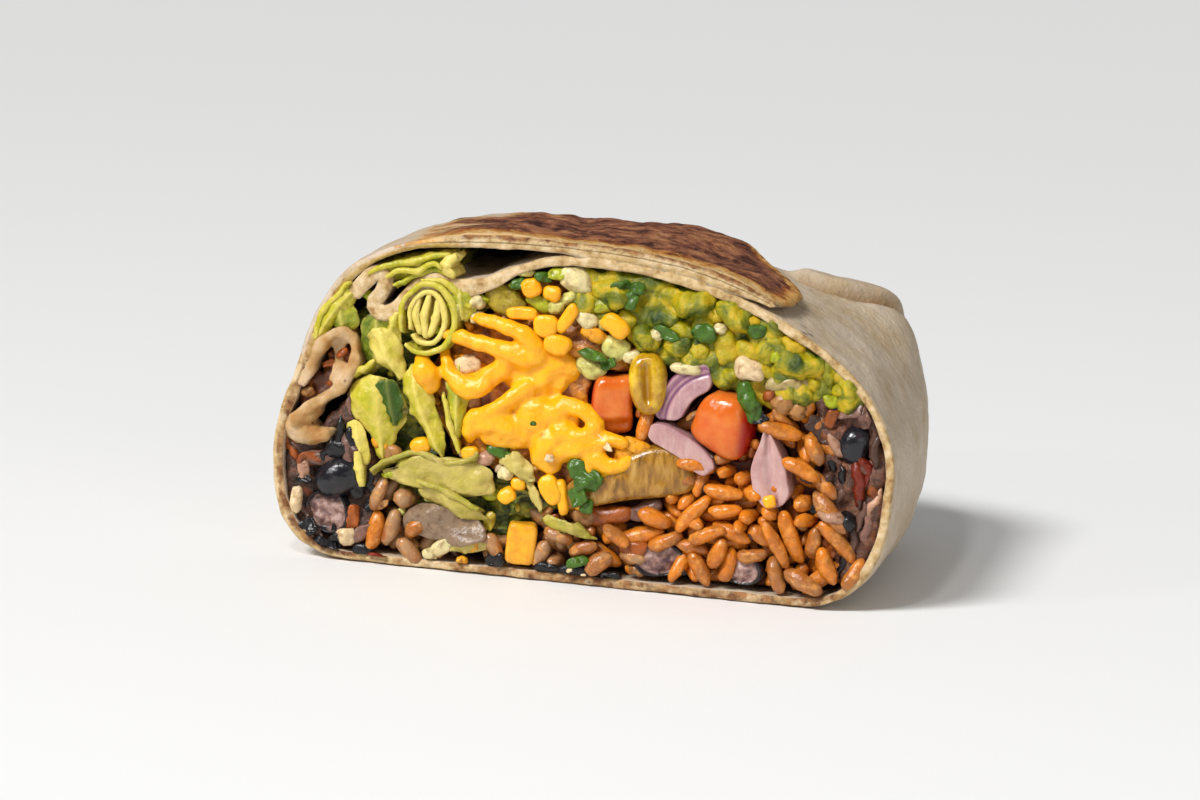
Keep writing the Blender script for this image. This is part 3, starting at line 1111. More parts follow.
def rice_places(s):
    """Where the grains lie: middles (mm), directions and sizes, after they have pushed each other apart."""
    chance = np.random.default_rng(21)
    room = CUT.room("rice", most=6.0)
    near = CUT.room("rice", "melted_cheese", "onion_slice", "beans_right", "lettuce_low", most=6.0)
    long_, wide = s.grain_length / MM, s.grain_width / MM
    front = np.array([(x, z, 0 if turn is None else turn, turn is None, l, w, tone)
        for x, z, turn, l, w, tone in FRONT_GRAINS], float)
    fixed = len(front)
    places = [(x, 0.4 + 0.8 * abs(math.sin(7 * x)) + (l * 0.3 if end else 0), z)
        for x, z, turn, end, l, w, tone in front]
    while len(places) < max(s.grains, fixed):
        x, z = chance.uniform((-45, 1), (57, 46))
        if CUT.at(room, x, z) >= 0.5:
            places.append((x, chance.uniform(2, 9), z))
    middle = np.array(places)
    total = len(middle)
    turn = chance.uniform(0, np.pi, total)
    tip = np.clip(chance.normal(0, 0.55, total), -1.4, 1.4)
    turn[:fixed] = np.radians(front[:, 2])
    tip[:fixed] = np.where(front[:, 3] > 0, chance.uniform(1.2, 1.4, fixed), chance.normal(0, 0.16, fixed))
    axis = np.stack([np.cos(turn) * np.cos(tip), np.sin(tip), np.sin(turn) * np.cos(tip)], axis=1)
    long_each = long_ * chance.uniform(0.55, 1.06, total)
    wide_each = wide * chance.uniform(0.82, 1.05, total)
    long_each[:fixed], wide_each[:fixed] = front[:, 4], front[:, 5]
    free = (np.arange(total) >= fixed)[:, None]
    for _ in range(PACKING_STEPS):
        beads = middle[:, None] + axis[:, None] * (np.array([-BEAD_REACH, 0, BEAD_REACH])[None, :, None]
            * long_each[:, None, None])
        flat = beads.reshape(-1, 3)
        gap = flat[:, None] - flat[None]
        far = np.linalg.norm(gap, axis=2)
        grain = np.repeat(np.arange(total), 3)
        need = (wide_each[grain][:, None] + wide_each[grain][None]) * BEAD_GAP
        push = np.clip(need - far, 0, None) * (grain[:, None] != grain[None]) * (far > 1e-6)
        force = (gap / np.maximum(far, 1e-6)[..., None] * push[..., None]).sum(axis=1) * PUSH_SHARE
        force = np.clip(force, -MOST_PUSH, MOST_PUSH).reshape(-1, 3, 3)
        middle += force.mean(axis=1) * np.where(free, 1.0, PLACED_GIVE)
        twist = (force[:, 2] - force[:, 0]) / long_each[:, None] * free
        axis += twist - (twist * axis).sum(axis=1, keepdims=True) * axis
        axis /= np.linalg.norm(axis, axis=1, keepdims=True)
        middle[:, 1] += (np.clip(middle[:, 1], *RICE_DEPTHS) - middle[:, 1]) * 0.4 * free[:, 0]
        for end in (-BEAD_REACH, BEAD_REACH):
            x, _, z = (middle + axis * (end * long_each)[:, None]).T
            here = CUT.at(near, x, z)
            slope_x = CUT.at(near, x + 1, z) - CUT.at(near, x - 1, z)
            slope_z = CUT.at(near, x, z + 1) - CUT.at(near, x, z - 1)
            low = np.clip(RICE_MARGIN - here, 0, RICE_MARGIN) * 0.25 * free[:, 0]
            middle[:, 0] += np.clip(slope_x, -1, 1) * low
            middle[:, 2] += np.clip(slope_z, -1, 1) * low
        lowest = middle[:, 2] - np.abs(axis[:, 2]) * (long_each - wide_each) / 2 - wide_each / 2
        over_wall = np.where(middle[:, 1] < 0.6, 0.1, 2.0)
        middle[:, 2] += np.clip(over_wall - lowest, 0, None)
    tone = np.clip(1 - ease(middle[:, 0], -6, 12) + chance.normal(0, 0.25, total), 0, 1)
    tone[:fixed] = front[:, 6]
    return middle, axis, long_each, wide_each, tone, chance


def rice_nodes(grain, finish):
    """Geometry Nodes that put a grain at every point, turned and sized by the point's own marks. Returns
    the tree and its settings' identifiers by name."""
    tree = bpy.data.node_groups.new("Rice grains", "GeometryNodeTree")
    face = tree.interface
    for way in ("INPUT", "OUTPUT"):
        face.new_socket("Geometry", in_out=way, socket_type="NodeSocketGeometry")
    given = {name: face.new_socket(name, in_out="INPUT", socket_type="NodeSocketFloat").identifier
        for name in ("Grain length", "Grain width", "Unevenness")}

    def node(kind, *inputs, out=0, **settings):
        """The output of a new node, its inputs given as (socket, another node's output or a value)."""
        made = tree.nodes.new(kind)
        for key, value in settings.items():
            setattr(made, key, value)
        for socket, value in inputs:
            if isinstance(value, bpy.types.NodeSocket):
                tree.links.new(value, made.inputs[socket])
            else:
                made.inputs[socket].default_value = value
        return made.outputs[out]

    def named(mark, kind="FLOAT"):
        return node("GeometryNodeInputNamedAttribute", ("Name", mark), out="Attribute", data_type=kind)

    start = tree.nodes.new("NodeGroupInput").outputs
    long_, wide = (node("ShaderNodeMath", (0, start[setting]), (1, named(mark)), operation="MULTIPLY")
        for setting, mark in (("Grain length", "long"), ("Grain width", "wide")))
    size = node("ShaderNodeCombineXYZ", ("X", long_), ("Y", wide), ("Z", wide))
    turned = node("FunctionNodeEulerToRotation", (0, named("turn", "FLOAT_VECTOR")))
    shape = node("GeometryNodeObjectInfo", ("Object", grain), out="Geometry")
    put = node("GeometryNodeInstanceOnPoints", ("Points", start["Geometry"]), ("Instance", shape),
        ("Rotation", turned), ("Scale", size))
    real = node("GeometryNodeRealizeInstances", (0, put))
    lumps = node("ShaderNodeTexNoise", ("Scale", 380.0), ("Detail", 2.0), out="Color")
    centred = node("ShaderNodeVectorMath", (0, lumps), (1, (0.5, 0.5, 0.5)), operation="SUBTRACT")
    far = node("ShaderNodeVectorMath", (0, centred), ("Scale", start["Unevenness"]), operation="SCALE")
    bent = node("GeometryNodeSetPosition", ("Geometry", real), ("Offset", far))
    smooth = node("GeometryNodeSetShadeSmooth", (0, bent))
    skin = node("GeometryNodeSetMaterial", ("Geometry", smooth), ("Material", finish))
    tree.links.new(skin, tree.nodes.new("NodeGroupOutput").inputs[0])
    return tree, given


def grain_shape():
    """A cooked grain one unit long and one wide, along x, slightly bent."""
    at = np.sin(np.linspace(-0.5, 0.5, 11) * math.pi) / 2
    wide = 0.02 + 0.48 * np.sqrt(1 - np.abs(2 * at) ** 2.7) * (1 - 0.12 * at)
    turn = np.linspace(0, 2 * np.pi, 9)[:-1]
    points = [(x, w * math.cos(a) * (0.84 + 0.1 * math.cos(2 * a)) + 0.34 * (x * x - 0.08),
        w * math.sin(a) * 0.96) for x, w in zip(at, wide) for a in turn]
    return points, tube_faces(len(at), len(turn))


def rice_finish(s):
    f = juicy("Cooked rice", 0.22, (1, 0.4, 0.1), 0.2, Specular_IOR_Level=0.5)
    tone = f.add(f.mark("tone"), f.swing(1.6, 3.4, 4))
    colour = f.ramp(tone, (0.05, s.orange), (0.45, s.tan), (0.95, s.pale))
    stain = f.span(f.noise(2.6, 5, 0.6), 0.46, 0.68)
    colour = f.mix(f.times(stain, 0.65), colour, (0.34, 0.085, 0.008))
    colour = f.mix(f.span(f.noise(1.6, 4, 0.6), 0.52, 0.72, 0, 0.7), colour, (0.8, 0.36, 0.07))
    fleck = f.span(f.noise(0.45, 2), 0.68, 0.75, 0, 0.8)
    f.colour(f.mix(fleck, colour, (0.08, 0.025, 0.01)))
    f.bump(f.noise(0.9, 4), 0.2)
    return f.material


class BURRITO_OT_rice(bpy.types.Operator):
    """Make the rice: a smaller core with loose grains packed over it"""

    bl_idname = "burrito.rice"
    bl_label = "Rice"

    def execute(self, context):
        s = context.scene.burrito.rice
        fillings = context.scene.burrito.filling
        core = soft_layer("rice_core", "rice", 0.8, lump=1.0, size=4.0, seed=9, sink=3.0, shrink=0.6,
            triangles=50000)
        finish = mottled("Rice core", 0.5, (1, 0.5, 0.3), 0.1, 3, (1.5, 3, 0.6),
            (0.35, (0.03, 0.012, 0.01)), (0.55, (0.14, 0.04, 0.012)), (0.75, fillings.mash_red))
        settle(dressed(core, finish), "rice", "rice")

        middle, axis, long_each, wide_each, tone, chance = rice_places(s)
        turns = [Vector(a).to_track_quat("X", "Z").to_euler() for a in axis]
        mesh = bpy.data.meshes.new("rice_points")
        mesh.from_pydata(in_roll(middle).tolist(), [], [])
        for mark, values in (("long", long_each / (s.grain_length / MM)),
            ("wide", wide_each / (s.grain_width / MM)), ("tone", tone)):
            kept = mesh.attributes.new(mark, "FLOAT", "POINT")
            kept.data.foreach_set("value", values.astype(np.float32))
        spin = chance.uniform(0, 2 * np.pi, len(turns))
        flat = [v for t, a in zip(turns, spin)
            for v in (t.to_quaternion() @ Euler((a, 0, 0)).to_quaternion()).to_euler()]
        mesh.attributes.new("turn", "FLOAT_VECTOR", "POINT").data.foreach_set("vector", flat)
        grains = bpy.data.objects.new("rice_grains", mesh)
        context.scene.collection.objects.link(grains)
        points, faces = grain_shape()
        grain = new_piece("grain_shape", points, faces, None)
        tree, inputs = rice_nodes(grain, rice_finish(s))
        modifier = grains.modifiers.new("Rice", "NODES")
        modifier.node_group = tree
        for name, value in (("Grain length", s.grain_length), ("Grain width", s.grain_width),
            ("Unevenness", s.unevenness)):
            modifier[inputs[name]] = value
        shown = grains.evaluated_get(context.evaluated_depsgraph_get())
        made = bpy.data.meshes.new_from_object(shown)
        grains.modifiers.clear()
        grains.data = made
        bpy.data.objects.remove(grain)
        settle(grains, "rice")
        return {"FINISHED"}


# ---------------------------------------------------------------- melted cheese

# strands of melted cheese: (x, depth, z, radius) in mm along each
CHEESE_STRANDS = (
    ((-26.2, 1.4, 43.4, 0.8), (-25, 0.4, 43.3, 1.2), (-22.2, -0.3, 43, 1.45), (-19.1, -0.6, 42.5, 1.5),
     (-16, -0.8, 41.9, 1.7), (-12.9, -0.6, 41.1, 2), (-10.6, -0.4, 40.4, 2.4)),
    ((-20.8, 1, 46.7, 0.7), (-19.4, 0.2, 46.6, 1), (-16.8, -0.5, 46.4, 1.25), (-13.9, -0.9, 45.8, 1.5),
     (-11.1, -1, 44.9, 1.7), (-9.2, -0.8, 43.2, 1.9), (-8.5, -0.4, 41.3, 2.3)),
    ((-25.8, 1.8, 40.2, 0.9), (-25, 0.6, 38.2, 1.2), (-23.6, -0.2, 35.8, 1.6), (-20.9, -0.6, 34.2, 2.2),
     (-18.3, -0.6, 34.6, 2.1), (-16.6, -0.2, 36.6, 1.9), (-14.6, 0.2, 38.1, 2.3)),
    ((-9.5, 0, 35.2, 1.9), (-12.1, -0.7, 33.3, 1.6), (-14.1, -1, 31.5, 1.6), (-16.4, -0.8, 29.8, 1.8)),
    ((-20.1, 1, 24.4, 0.9), (-19.8, 0, 26.4, 1.6), (-19, -0.2, 28.8, 1.9), (-17.2, 0.4, 28, 2.8),
     (-14.6, 0.4, 28.6, 2.8), (-12.4, 0.6, 27.2, 3)),
    ((-4.2, 0.2, 31, 2.5), (-2.4, -0.2, 32.6, 1.7), (-0.4, -0.4, 32.3, 1.6), (1.7, -0.4, 31.2, 1.6),
     (3, -0.4, 29.4, 1.7), (2.2, -0.4, 27.5, 1.7), (-0.4, -0.2, 26.9, 2), (-2.8, 0.2, 27.6, 2.7)),
    ((-5.4, 0.4, 25.4, 2.9), (-6.2, 0.2, 23, 2.4), (-4.6, 0.2, 21.4, 1.9)),
    ((-3, 0.4, 24.4, 2.4), (0.4, -0.2, 25.2, 2.2), (3, -0.5, 26, 1.8), (5.7, -0.7, 27.1, 1.5),
     (8.2, -0.4, 26.8, 1.4)),
    ((1.6, 0.2, 24.4, 2), (3.9, -0.3, 23.2, 2), (6.1, -0.6, 22.4, 1.6), (8.4, -0.4, 22.8, 1.5),
     (9.6, 0.2, 23.8, 1.2)),
    ((2, 0.2, 23.6, 1.5), (2.2, -0.5, 21.8, 1.2), (2.8, -0.6, 20.2, 0.8)),
    ((4.6, 0, 22.6, 1.2), (5.2, -0.4, 20.8, 0.9), (5.4, -0.2, 19.8, 0.7)),
    ((-29.4, 0.6, 38, 1.5), (-28.6, -0.3, 36.2, 2.5), (-27.6, 0.2, 33.8, 1.8)),
    ((-16.2, 0.8, 25.8, 2.2), (-12.6, 0.6, 25.4, 2), (-10, 0.6, 26, 2.2)),
)
# rounder drops: (x, depth, z, radius)
CHEESE_DOMES = ((-14, 1.6, 38, 2.9), (-11.8, 1.2, 37, 3.1), (-9.8, 0.6, 38.8, 3.3), (-7.4, 0.4, 38, 3.5),
    (-5, 0.6, 39.4, 3.2), (-2.9, 1, 38.9, 2.7), (-4.4, 1, 36.8, 2.4), (-7, 1, 36, 2.5),
    (-8.3, 0.2, 29.8, 4.4), (-2.4, 0.8, 29.6, 2.4), (-19.6, 1.4, 36.2, 2.5), (-9.6, 2.6, 33.6, 2.8),
    (-5.4, 2.2, 33.4, 2.6), (-0.6, 1.8, 23.2, 2.2))
# separate shreds: (x, depth, z), (across, deep, high), turn in degrees
CHEESE_SHREDS = (((-10.2, 0.2, 53), (3.6, 2.2, 3.4), 20), ((-6.3, 0.2, 52.3), (3.4, 2.6, 2.8), -10),
    ((-11.4, -0.8, 48.4), (5.6, 1.9, 2.3), 4), ((-6.9, -1, 46.6), (4.5, 2, 4.1), 0),
    ((-3.1, -0.8, 48.2), (2.5, 1.7, 5.6), -32), ((-4.7, -1, 43.4), (5, 2.4, 3.7), -14),
    ((-28.8, -0.2, 22.6), (3.7, 2.6, 3.2), 15), ((-19.6, -0.4, 22.3), (3.2, 2, 2.3), 8),
    ((-10.4, 0.2, 17.4), (2.6, 2.2, 2.6), 0), ((-12.3, -0.4, 15.2), (3.1, 2.4, 2.9), 40),
    ((-4.4, -0.6, 17), (3.8, 2.2, 5.6), 28), ((-2.2, -0.2, 15.8), (2.2, 2.2, 6.4), 12),
    ((1.4, -0.2, 15), (2.6, 2, 2.2), 10), ((5.6, -0.3, 47.6), (5.6, 3.2, 3.6), -38),
    ((35.4, -1, 18.9), (2.3, 1.8, 2.2), 20))


def cheese_finish(s):
    f = juicy("Melted cheddar", 0.22, (1, 0.55, 0.12), 0.3, 0.0016, Specular_IOR_Level=0.5)
    deep = f.span(f.noise(4.5, 3), 0.35, 0.7)
    colour = f.mix(deep, (0.96, 0.46, 0.008), s.cheese)
    f.colour(f.mix(f.span(f.noise(2.2, 4), 0.52, 0.78, 0, 0.6), colour, (0.86, 0.33, 0.01)))
    f.bump(f.noise(1.8, 5, 0.6), 0.4)
    return f.material


class BURRITO_OT_cheese(bpy.types.Operator):
    """Make the melted cheese: strands and drops run together, and loose shreds"""

    bl_idname = "burrito.cheese"
    bl_label = "Cheese"

    def execute(self, context):
        s = context.scene.burrito.filling
        finish = cheese_finish(s)
        core = soft_layer("cheese_core", "melted_cheese", 0.8, lump=1.0, size=3.5, seed=5, sink=1.6,
            shrink=0.6, triangles=40000)
        shaded = mottled("Cheese in shade", 0.34, (1, 0.5, 0.2), 0.2, 3, (1.5, 3, 0.6),
            (0.35, (0.2, 0.06, 0.012)), (0.5, (0.52, 0.19, 0.018)), (0.68, (0.8, 0.36, 0.014)))
        settle(dressed(core, shaded), "melted_cheese", "melted_cheese")

        bodies = []
        for strand in CHEESE_STRANDS:
            line = spline(strand, 5)
            bodies.append(tube(line[:, :3], line[:, 3], 12))
        for x, depth, z, radius in CHEESE_DOMES:
            bodies.append(pebble((x, depth + radius * 0.35, z), (2 * radius, 1.7 * radius, 2 * radius),
                3, dent=0.05, cuts=8, power=2))
        points, faces = joined(bodies)
        melt = new_piece("cheese_melt", in_roll(points), faces, finish, outward=False)
        fused(melt, 0.42, 5)
        roughen(melt, 0.34, 2.6, 7)
        settle(melt, "melted_cheese")

        bodies = [pebble(place, size, k, turn, 0.16, 7, 3)
            for k, (place, size, turn) in enumerate(CHEESE_SHREDS)]
        points, faces = joined(bodies)
        shreds = new_piece("cheese_shreds", in_roll(points), faces, finish, merge=0.00001)
        settle(shreds, "melted_cheese")
        return {"FINISHED"}


# ---------------------------------------------------------------- lettuce


def lettuce_finish(s, name="Lettuce", wet=0.0):
    f = juicy(name, 0.26, (0.6, 1, 0.2), 0.25, 0.001, Specular_IOR_Level=0.35)
    uneven = f.swing(1.1, 3.6, 5, 0.6)
    green = f.add(f.mark("green"), uneven)
    leafy = f.ramp(green, (0, s.leaf_pale), (0.38, s.leaf), (0.66, (0.24, 0.29, 0.015)),
        (0.95, s.leaf_dark))
    network = f.span(f.cells(2.2, "DISTANCE_TO_EDGE"), 0.07, 0.01, 0, 0.18)
    share = f.times(f.mark("rib"), f.span(green, 0.7, 1.1, 0.85, 0.35))
    vein = f.sum("MAXIMUM", share, f.times(network, f.span(green, 0.9, 0.5)))
    limp = f.span(f.noise(5, 4, 0.6), 0.3, 0.7, wet, 0.6 * wet)
    f.colour(f.mix(limp, f.mix(vein, leafy, s.leaf_pale), (0.25, 0.19, 0.07)))
    f.bump(f.noise(1.4, 4, 0.6), 0.4)
    return f.material


# Each leaf: how it is made, its greenness, its points (mm), then what leaf or strip takes next.
# the leaves at the left of the cut
LEFT_LEAVES = (
    (strip, 0.34, ((-33.6, 43), (-33.4, 48.4), (-30.8, 51.6), (-27.2, 51.9), (-24.4, 49.4), (-23.7, 45),
     (-25.4, 41.2), (-29.2, 39.8), (-32.6, 41)), ((-1, 2, 6), (0.6, -0.4), 1, 0.3, 1)),
    (strip, 0.06, ((-31.9, 43.4), (-31.8, 47.4), (-30.2, 50.2), (-27.8, 50.6), (-26, 48.2), (-25.6, 44.6),
     (-27.4, 41.8), (-30.2, 41.6), (-31.6, 42.8)), ((-0.6, 2.4, 5), (0.4, 0), 0.9, 0.2, 2)),
    (strip, 0, ((-30.6, 49.6), (-31, 46.2), (-29.8, 42.8)), ((-0.5, 2, 4), (0.3, 0), 1.15, 0.15, 3)),
    (strip, 0, ((-28.8, 50.2), (-29.5, 46.4), (-28.9, 42.4)), ((-0.5, 2, 4), (0.3, 0), 1.15, 0.15, 4)),
    (strip, 0, ((-27, 49.6), (-27.3, 46), (-28.2, 42.6)), ((-0.5, 2, 4), (0.3, 0), 1.15, 0.15, 5)),
    (leaf, 0.02, (((-30.8, 3.2, 50), (-29, 3.4, 50.4), (-26.6, 3.2, 49.6)), ((-31.2, 2.6, 46),
     (-29, 2.4, 46), (-26.2, 2.6, 46)), ((-30, 3, 42), (-28.8, 3.2, 41.6), (-27.4, 3, 42))),
     (0.8, 0.2, 3, 7)),
    # pale leaf below the crumpled edge, its tip to the left
    (leaf, 0.2, (((-41, 0.4, 42.6), (-37.6, -0.8, 43.6), (-34.2, 0.4, 43.4)), ((-39.4, 0.2, 40.4),
     (-36.6, -1, 40.8), (-33.4, 0.2, 40.6)), ((-37.4, 0.6, 37.6), (-35.2, -0.8, 37.8),
     (-32.6, 0.2, 37.8)), ((-34.2, 1.4, 34), (-33.2, 0.2, 34.6), (-31.4, 0.6, 35.2))), (0.7, 0.7, 3.5, 8)),
    (strip, 0.3, ((-42.4, 34.2), (-41.2, 35.6), (-39.4, 36.2), (-38.2, 37.8)), ((-1, 1.5, 5), (0.5, -2),
     0.9, 0.4, 9)),
    # the large leaf, with a dark green one over its right side
    (leaf, 0.3, (((-43.6, 0.8, 34.6), (-39.4, -0.8, 35), (-35.4, 0.2, 34.4), (-32.2, 1.4, 33)),
     ((-43, 0.2, 30.6), (-39.2, -1.2, 30.8), (-35.4, -0.4, 30.2), (-32, 1.2, 29.4)), ((-41.6, 0.6, 26.8),
     (-38.4, -0.9, 26.6), (-35.2, -0.4, 26.2), (-32.4, 0.8, 26.2)), ((-39, 1.2, 23.2), (-37, 0, 22.8),
     (-35.2, 0, 22.6), (-33.6, 0.8, 22.8)), ((-37.2, 2, 19.8), (-36.2, 0.8, 19.6), (-35.4, 0.8, 19.6),
     (-34.6, 1.6, 19.8))), (0.7, 0.6, 4, 10)),
    (leaf, 1.25, (((-37.8, -0.6, 34.2), (-35.4, -1.6, 34.8), (-33, -0.8, 34.2)), ((-37, -0.4, 31.2),
     (-34.8, -1.5, 31.2), (-32.4, -0.6, 30.8)), ((-35.4, 0, 28.2), (-34, -1.2, 28), (-32.4, -0.4, 27.8)),
     ((-34.4, 0.6, 26.2), (-33.8, -0.4, 26), (-33, 0.2, 26.2))), (0.6, 0.6, 2.6, 11),
     {"ribs": 0, "veins": 0}),
    (leaf, 0.14, (((-43.2, 1.6, 25.8), (-41, 0.6, 26), (-39.2, 0.8, 25)), ((-42.4, 1.2, 22.6),
     (-40.6, 0.2, 22.4), (-38.6, 0.6, 21.6)), ((-40.4, 1.4, 18.6), (-39.2, 0.6, 18.2), (-38, 1, 18))),
     (0.7, 0.4, 3.5, 12)),
    # the long leaf with two limbs
    (leaf, 0.32, (((-33.2, 1.2, 36.4), (-30.6, 0, 37.2), (-27.6, 0.8, 37)), ((-32.8, 0.2, 33.2),
     (-30.2, -1.2, 33.4), (-27.2, 0.2, 33.6)), ((-31.4, -0.2, 29.6), (-29, -1.6, 30), (-26.4, 0, 30.4)),
     ((-29.2, -0.2, 26.4), (-27.4, -1.4, 26.6), (-25.4, 0, 27)), ((-26.8, 0, 23.6), (-25.6, -1.2, 23.2),
     (-24.2, -0.2, 23.8)), ((-25.4, 0.6, 21.4), (-24.6, -0.2, 21.2), (-23.8, 0.4, 21.6))),
     (0.7, 0.5, 3.6, 13)),
    (strip, 0.3, ((-25, 32.6), (-24.2, 30), (-23.4, 27), (-22.2, 24.2), (-21.6, 22)), ((-1, 1.5, 5),
     (-1.5, 0), 0.9, 0.4, 14)),
    (strip, 0.1, ((-40.6, 20.6), (-40, 17.6), (-39.4, 14.2)), ((-0.8, 1.2, 4), (0.3, 0), 1.5, 0.2, 15)),
    # along the wall at the upper left
    (strip, 0.3, ((-43.4, 51), (-46.6, 47.6), (-48.8, 43.8), (-49.8, 40.6)), ((-0.8, 2, 8), (1.6, 0),
     0.9, 0.5, 16)),
    (leaf, 0.4, (((-44.4, 0.2, 50.8), (-43.2, 0, 49.4), (-41.6, 1, 49)), ((-47, 0, 47),
     (-45.8, -0.5, 46.2), (-44.2, 0.8, 45.6)), ((-49.2, 0.2, 43.2), (-48, -0.3, 42.8),
     (-46.8, 0.8, 42.6)), ((-50.2, 0.4, 40.4), (-49.2, 0.2, 40.2), (-48.4, 0.8, 40.2))),
     (0.6, 0.4, 2.4, 19), {"tips": 0.3}),
    (leaf, 0.24, (((-35.6, 1, 44.6), (-34.4, 0, 46.6), (-32.6, 1, 48.8)), ((-36.8, 0.8, 42),
     (-35.4, -0.2, 43.4), (-33.8, 0.8, 44.6)), ((-35.4, 1.2, 39.4), (-34.4, 0.2, 40.2), (-33.2, 1, 41))),
     (0.7, 0.5, 2.6, 20)),
    (strip, 0.3, ((-30.2, 52.6), (-27, 53), (-24.2, 51.6), (-22.6, 49.4), (-20.8, 48.6)), ((-0.6, 2, 6),
     (0, -0.4), 1, 0.4, 41)),
    (leaf, 0.44, (((-25.2, 0.8, 51), (-23.2, 0, 51.6), (-20.6, 0.8, 51)), ((-24.8, 0.6, 48.6),
     (-22.8, -0.4, 49), (-20, 0.6, 48.4)), ((-24.2, 0.8, 46), (-22.4, 0.2, 46.2), (-20.4, 0.8, 45.8))),
     (0.7, 0.6, 2.2, 42)),
    (leaf, 0.5, (((-24.4, 0.8, 37.2), (-22.6, 0.4, 38), (-20.6, 0.8, 37.4)), ((-24.6, 0.4, 33),
     (-22.6, -0.4, 33), (-20.6, 0.6, 32.6)), ((-24, 0.4, 28.6), (-22.4, -0.4, 28.2), (-20.8, 0.4, 28)),
     ((-23.4, 0.8, 24.4), (-22.4, 0.2, 24.2), (-21.6, 0.8, 24.4))), (0.6, 0.5, 2.6, 43)),
    (leaf, 0.6, (((-47.6, 0.6, 47.2), (-45.2, 0, 48.2), (-42.6, 0.8, 47.4)), ((-48, 0.8, 44.6),
     (-45, 0, 45), (-42, 0.8, 44.6)), ((-46.8, 1.6, 42.2), (-44.4, 1, 42.4), (-41.8, 1.6, 42))),
     (0.6, 0.6, 3, 17)),
    (leaf, 0.75, (((-41.6, 1.8, 45.6), (-38.4, 1, 46), (-35.2, 1.6, 45.8)), ((-41.4, 1.6, 40),
     (-38.6, 1.2, 40), (-34, 1.6, 40)), ((-40.6, 2.4, 36), (-38, 2, 36), (-34.8, 2.2, 36))),
     (0.6, 0.7, 3, 18)),
)
# the leaves lying across the lower left
LOW_LEAVES = (
    (leaf, 0.16, (((-36.4, 0.8, 18), (-31, -0.8, 21), (-25.6, -0.8, 21.2), (-20, -0.4, 20.6),
     (-16.4, 0.4, 21.4)), ((-35, 0.4, 16.6), (-29.6, -0.6, 18.6), (-24.4, -0.8, 18.4),
     (-19.4, -0.6, 17.8), (-15.2, 0.4, 17.6)), ((-32, 0.6, 14.6), (-27, -0.4, 15.4), (-22.4, -0.6, 15),
     (-18, -0.4, 14.2), (-14, 0.6, 13.6))), (0.6, 0.6, 3.5, 21), {"veins": 0.15}),
    (strip, 0.36, ((-37.6, 17.4), (-33.2, 20.4), (-28.4, 21.6), (-23.6, 20.2), (-20, 20.8),
     (-17.6, 22.6)), ((-1.4, 0.6, 3), (0, -1.2), 0.9, 0.4, 22)),
    (strip, 0.38, ((-28.4, 16.6), (-24.6, 15.6), (-20.6, 13.8), (-16.8, 12.6)), ((-1.8, 0.2, 2.5),
     (0, -1.8), 1, 0.4, 23)),
    (leaf, 0.2, (((-29, 0.2, 15.8), (-24, -1.2, 15), (-18.4, -0.6, 13.2)), ((-28, 0.4, 13.6),
     (-22.6, -0.8, 12.6), (-16.4, -0.2, 11.2)), ((-24.6, 1, 11.2), (-20.4, 0, 10.4),
     (-14.8, 0.8, 9.6))), (0.6, 0.5, 3.5, 24), {"veins": 0.15}),
    (leaf, 0, (((-14.4, 0.4, 22.6), (-11.4, -0.8, 23.2), (-8.4, 0.2, 22.2)), ((-14.2, 0.2, 20.8),
     (-11, -1.2, 21), (-7.8, -0.2, 20.2)), ((-12.8, 0.6, 18.8), (-9.8, -0.6, 18.6), (-6.8, 0.4, 18))),
     (0.7, 1, 2.2, 26)),
    (leaf, 0.04, (((-10.2, 0.6, 18.6), (-7.6, -0.4, 18.4)), ((-8.8, 0.2, 15.8), (-6.4, -0.6, 15.8)),
     ((-6.8, 0.8, 12.8), (-5, 0.2, 13.2))), (0.8, 0.5, 3, 27)),
    (leaf, 0.4, (((-5.4, 0.2, 12.4), (-2, -1, 12), (1.6, -0.8, 10.8), (4.2, 0.2, 9.4)),
     ((-5.2, 0.4, 10.6), (-1.8, -0.8, 9.8), (1.8, -0.6, 9), (4.4, 0.4, 8.4))), (0.6, 0.5, 2.5, 28)),
    (leaf, 0.05, (((-23, 0.4, 6.2), (-19.6, -0.8, 6.8), (-15.8, 0.2, 7.2)), ((-22.8, 0.6, 3.6),
     (-19.2, -0.4, 4), (-15.2, 0.6, 4.6))), (0.8, 0.7, 2.5, 29)),
)
# the leaves caught in the slit of the wrap and under its top
TOP_LEAVES = (
    (strip, 0.38, ((-40.2, 53), (-36.6, 54.9), (-32.4, 55.9), (-28.6, 57), (-25, 57.7)), ((-0.6, 2, 8),
     (0, 0.4), 1, 0.45, 31)),
    (strip, 0.3, ((-36.8, 52.6), (-34, 54.2), (-31, 54.4), (-28.8, 55.8), (-26.2, 55.6)),
     ((-0.9, 1.5, 6), (0, -0.6), 1, 0.45, 32)),
    (strip, 0.46, ((-35.6, 51), (-33.2, 52.6), (-30.4, 54), (-27.6, 54.6), (-25.8, 54)), ((-0.2, 2, 6),
     (0, -0.4), 0.9, 0.45, 33)),
    (strip, 0.1, ((-24.2, 57.8), (-25.6, 56.6), (-25.8, 55), (-24.2, 53.8)), ((-0.8, 1.2, 4),
     (0.8, 0), 1.7, 0.45, 34)),
    (leaf, 0.55, (((-37.6, 1.2, 54.6), (-31.4, 0.6, 56.4), (-24.8, 1.4, 57.8)), ((-36.6, 1.4, 52.8),
     (-30.8, 0.8, 54.6), (-24.8, 1.6, 56)), ((-35, 2, 51), (-30.6, 1.6, 52.8), (-25.2, 2.2, 54.2))),
     (0.7, 0.6, 3, 38), {"tips": 0.2}),
)


def grown(table):
    """The leaves of a table, each with its greenness."""
    return [(shape(points, *given, **dict(*more)), green) for shape, green, points, given, *more in table]


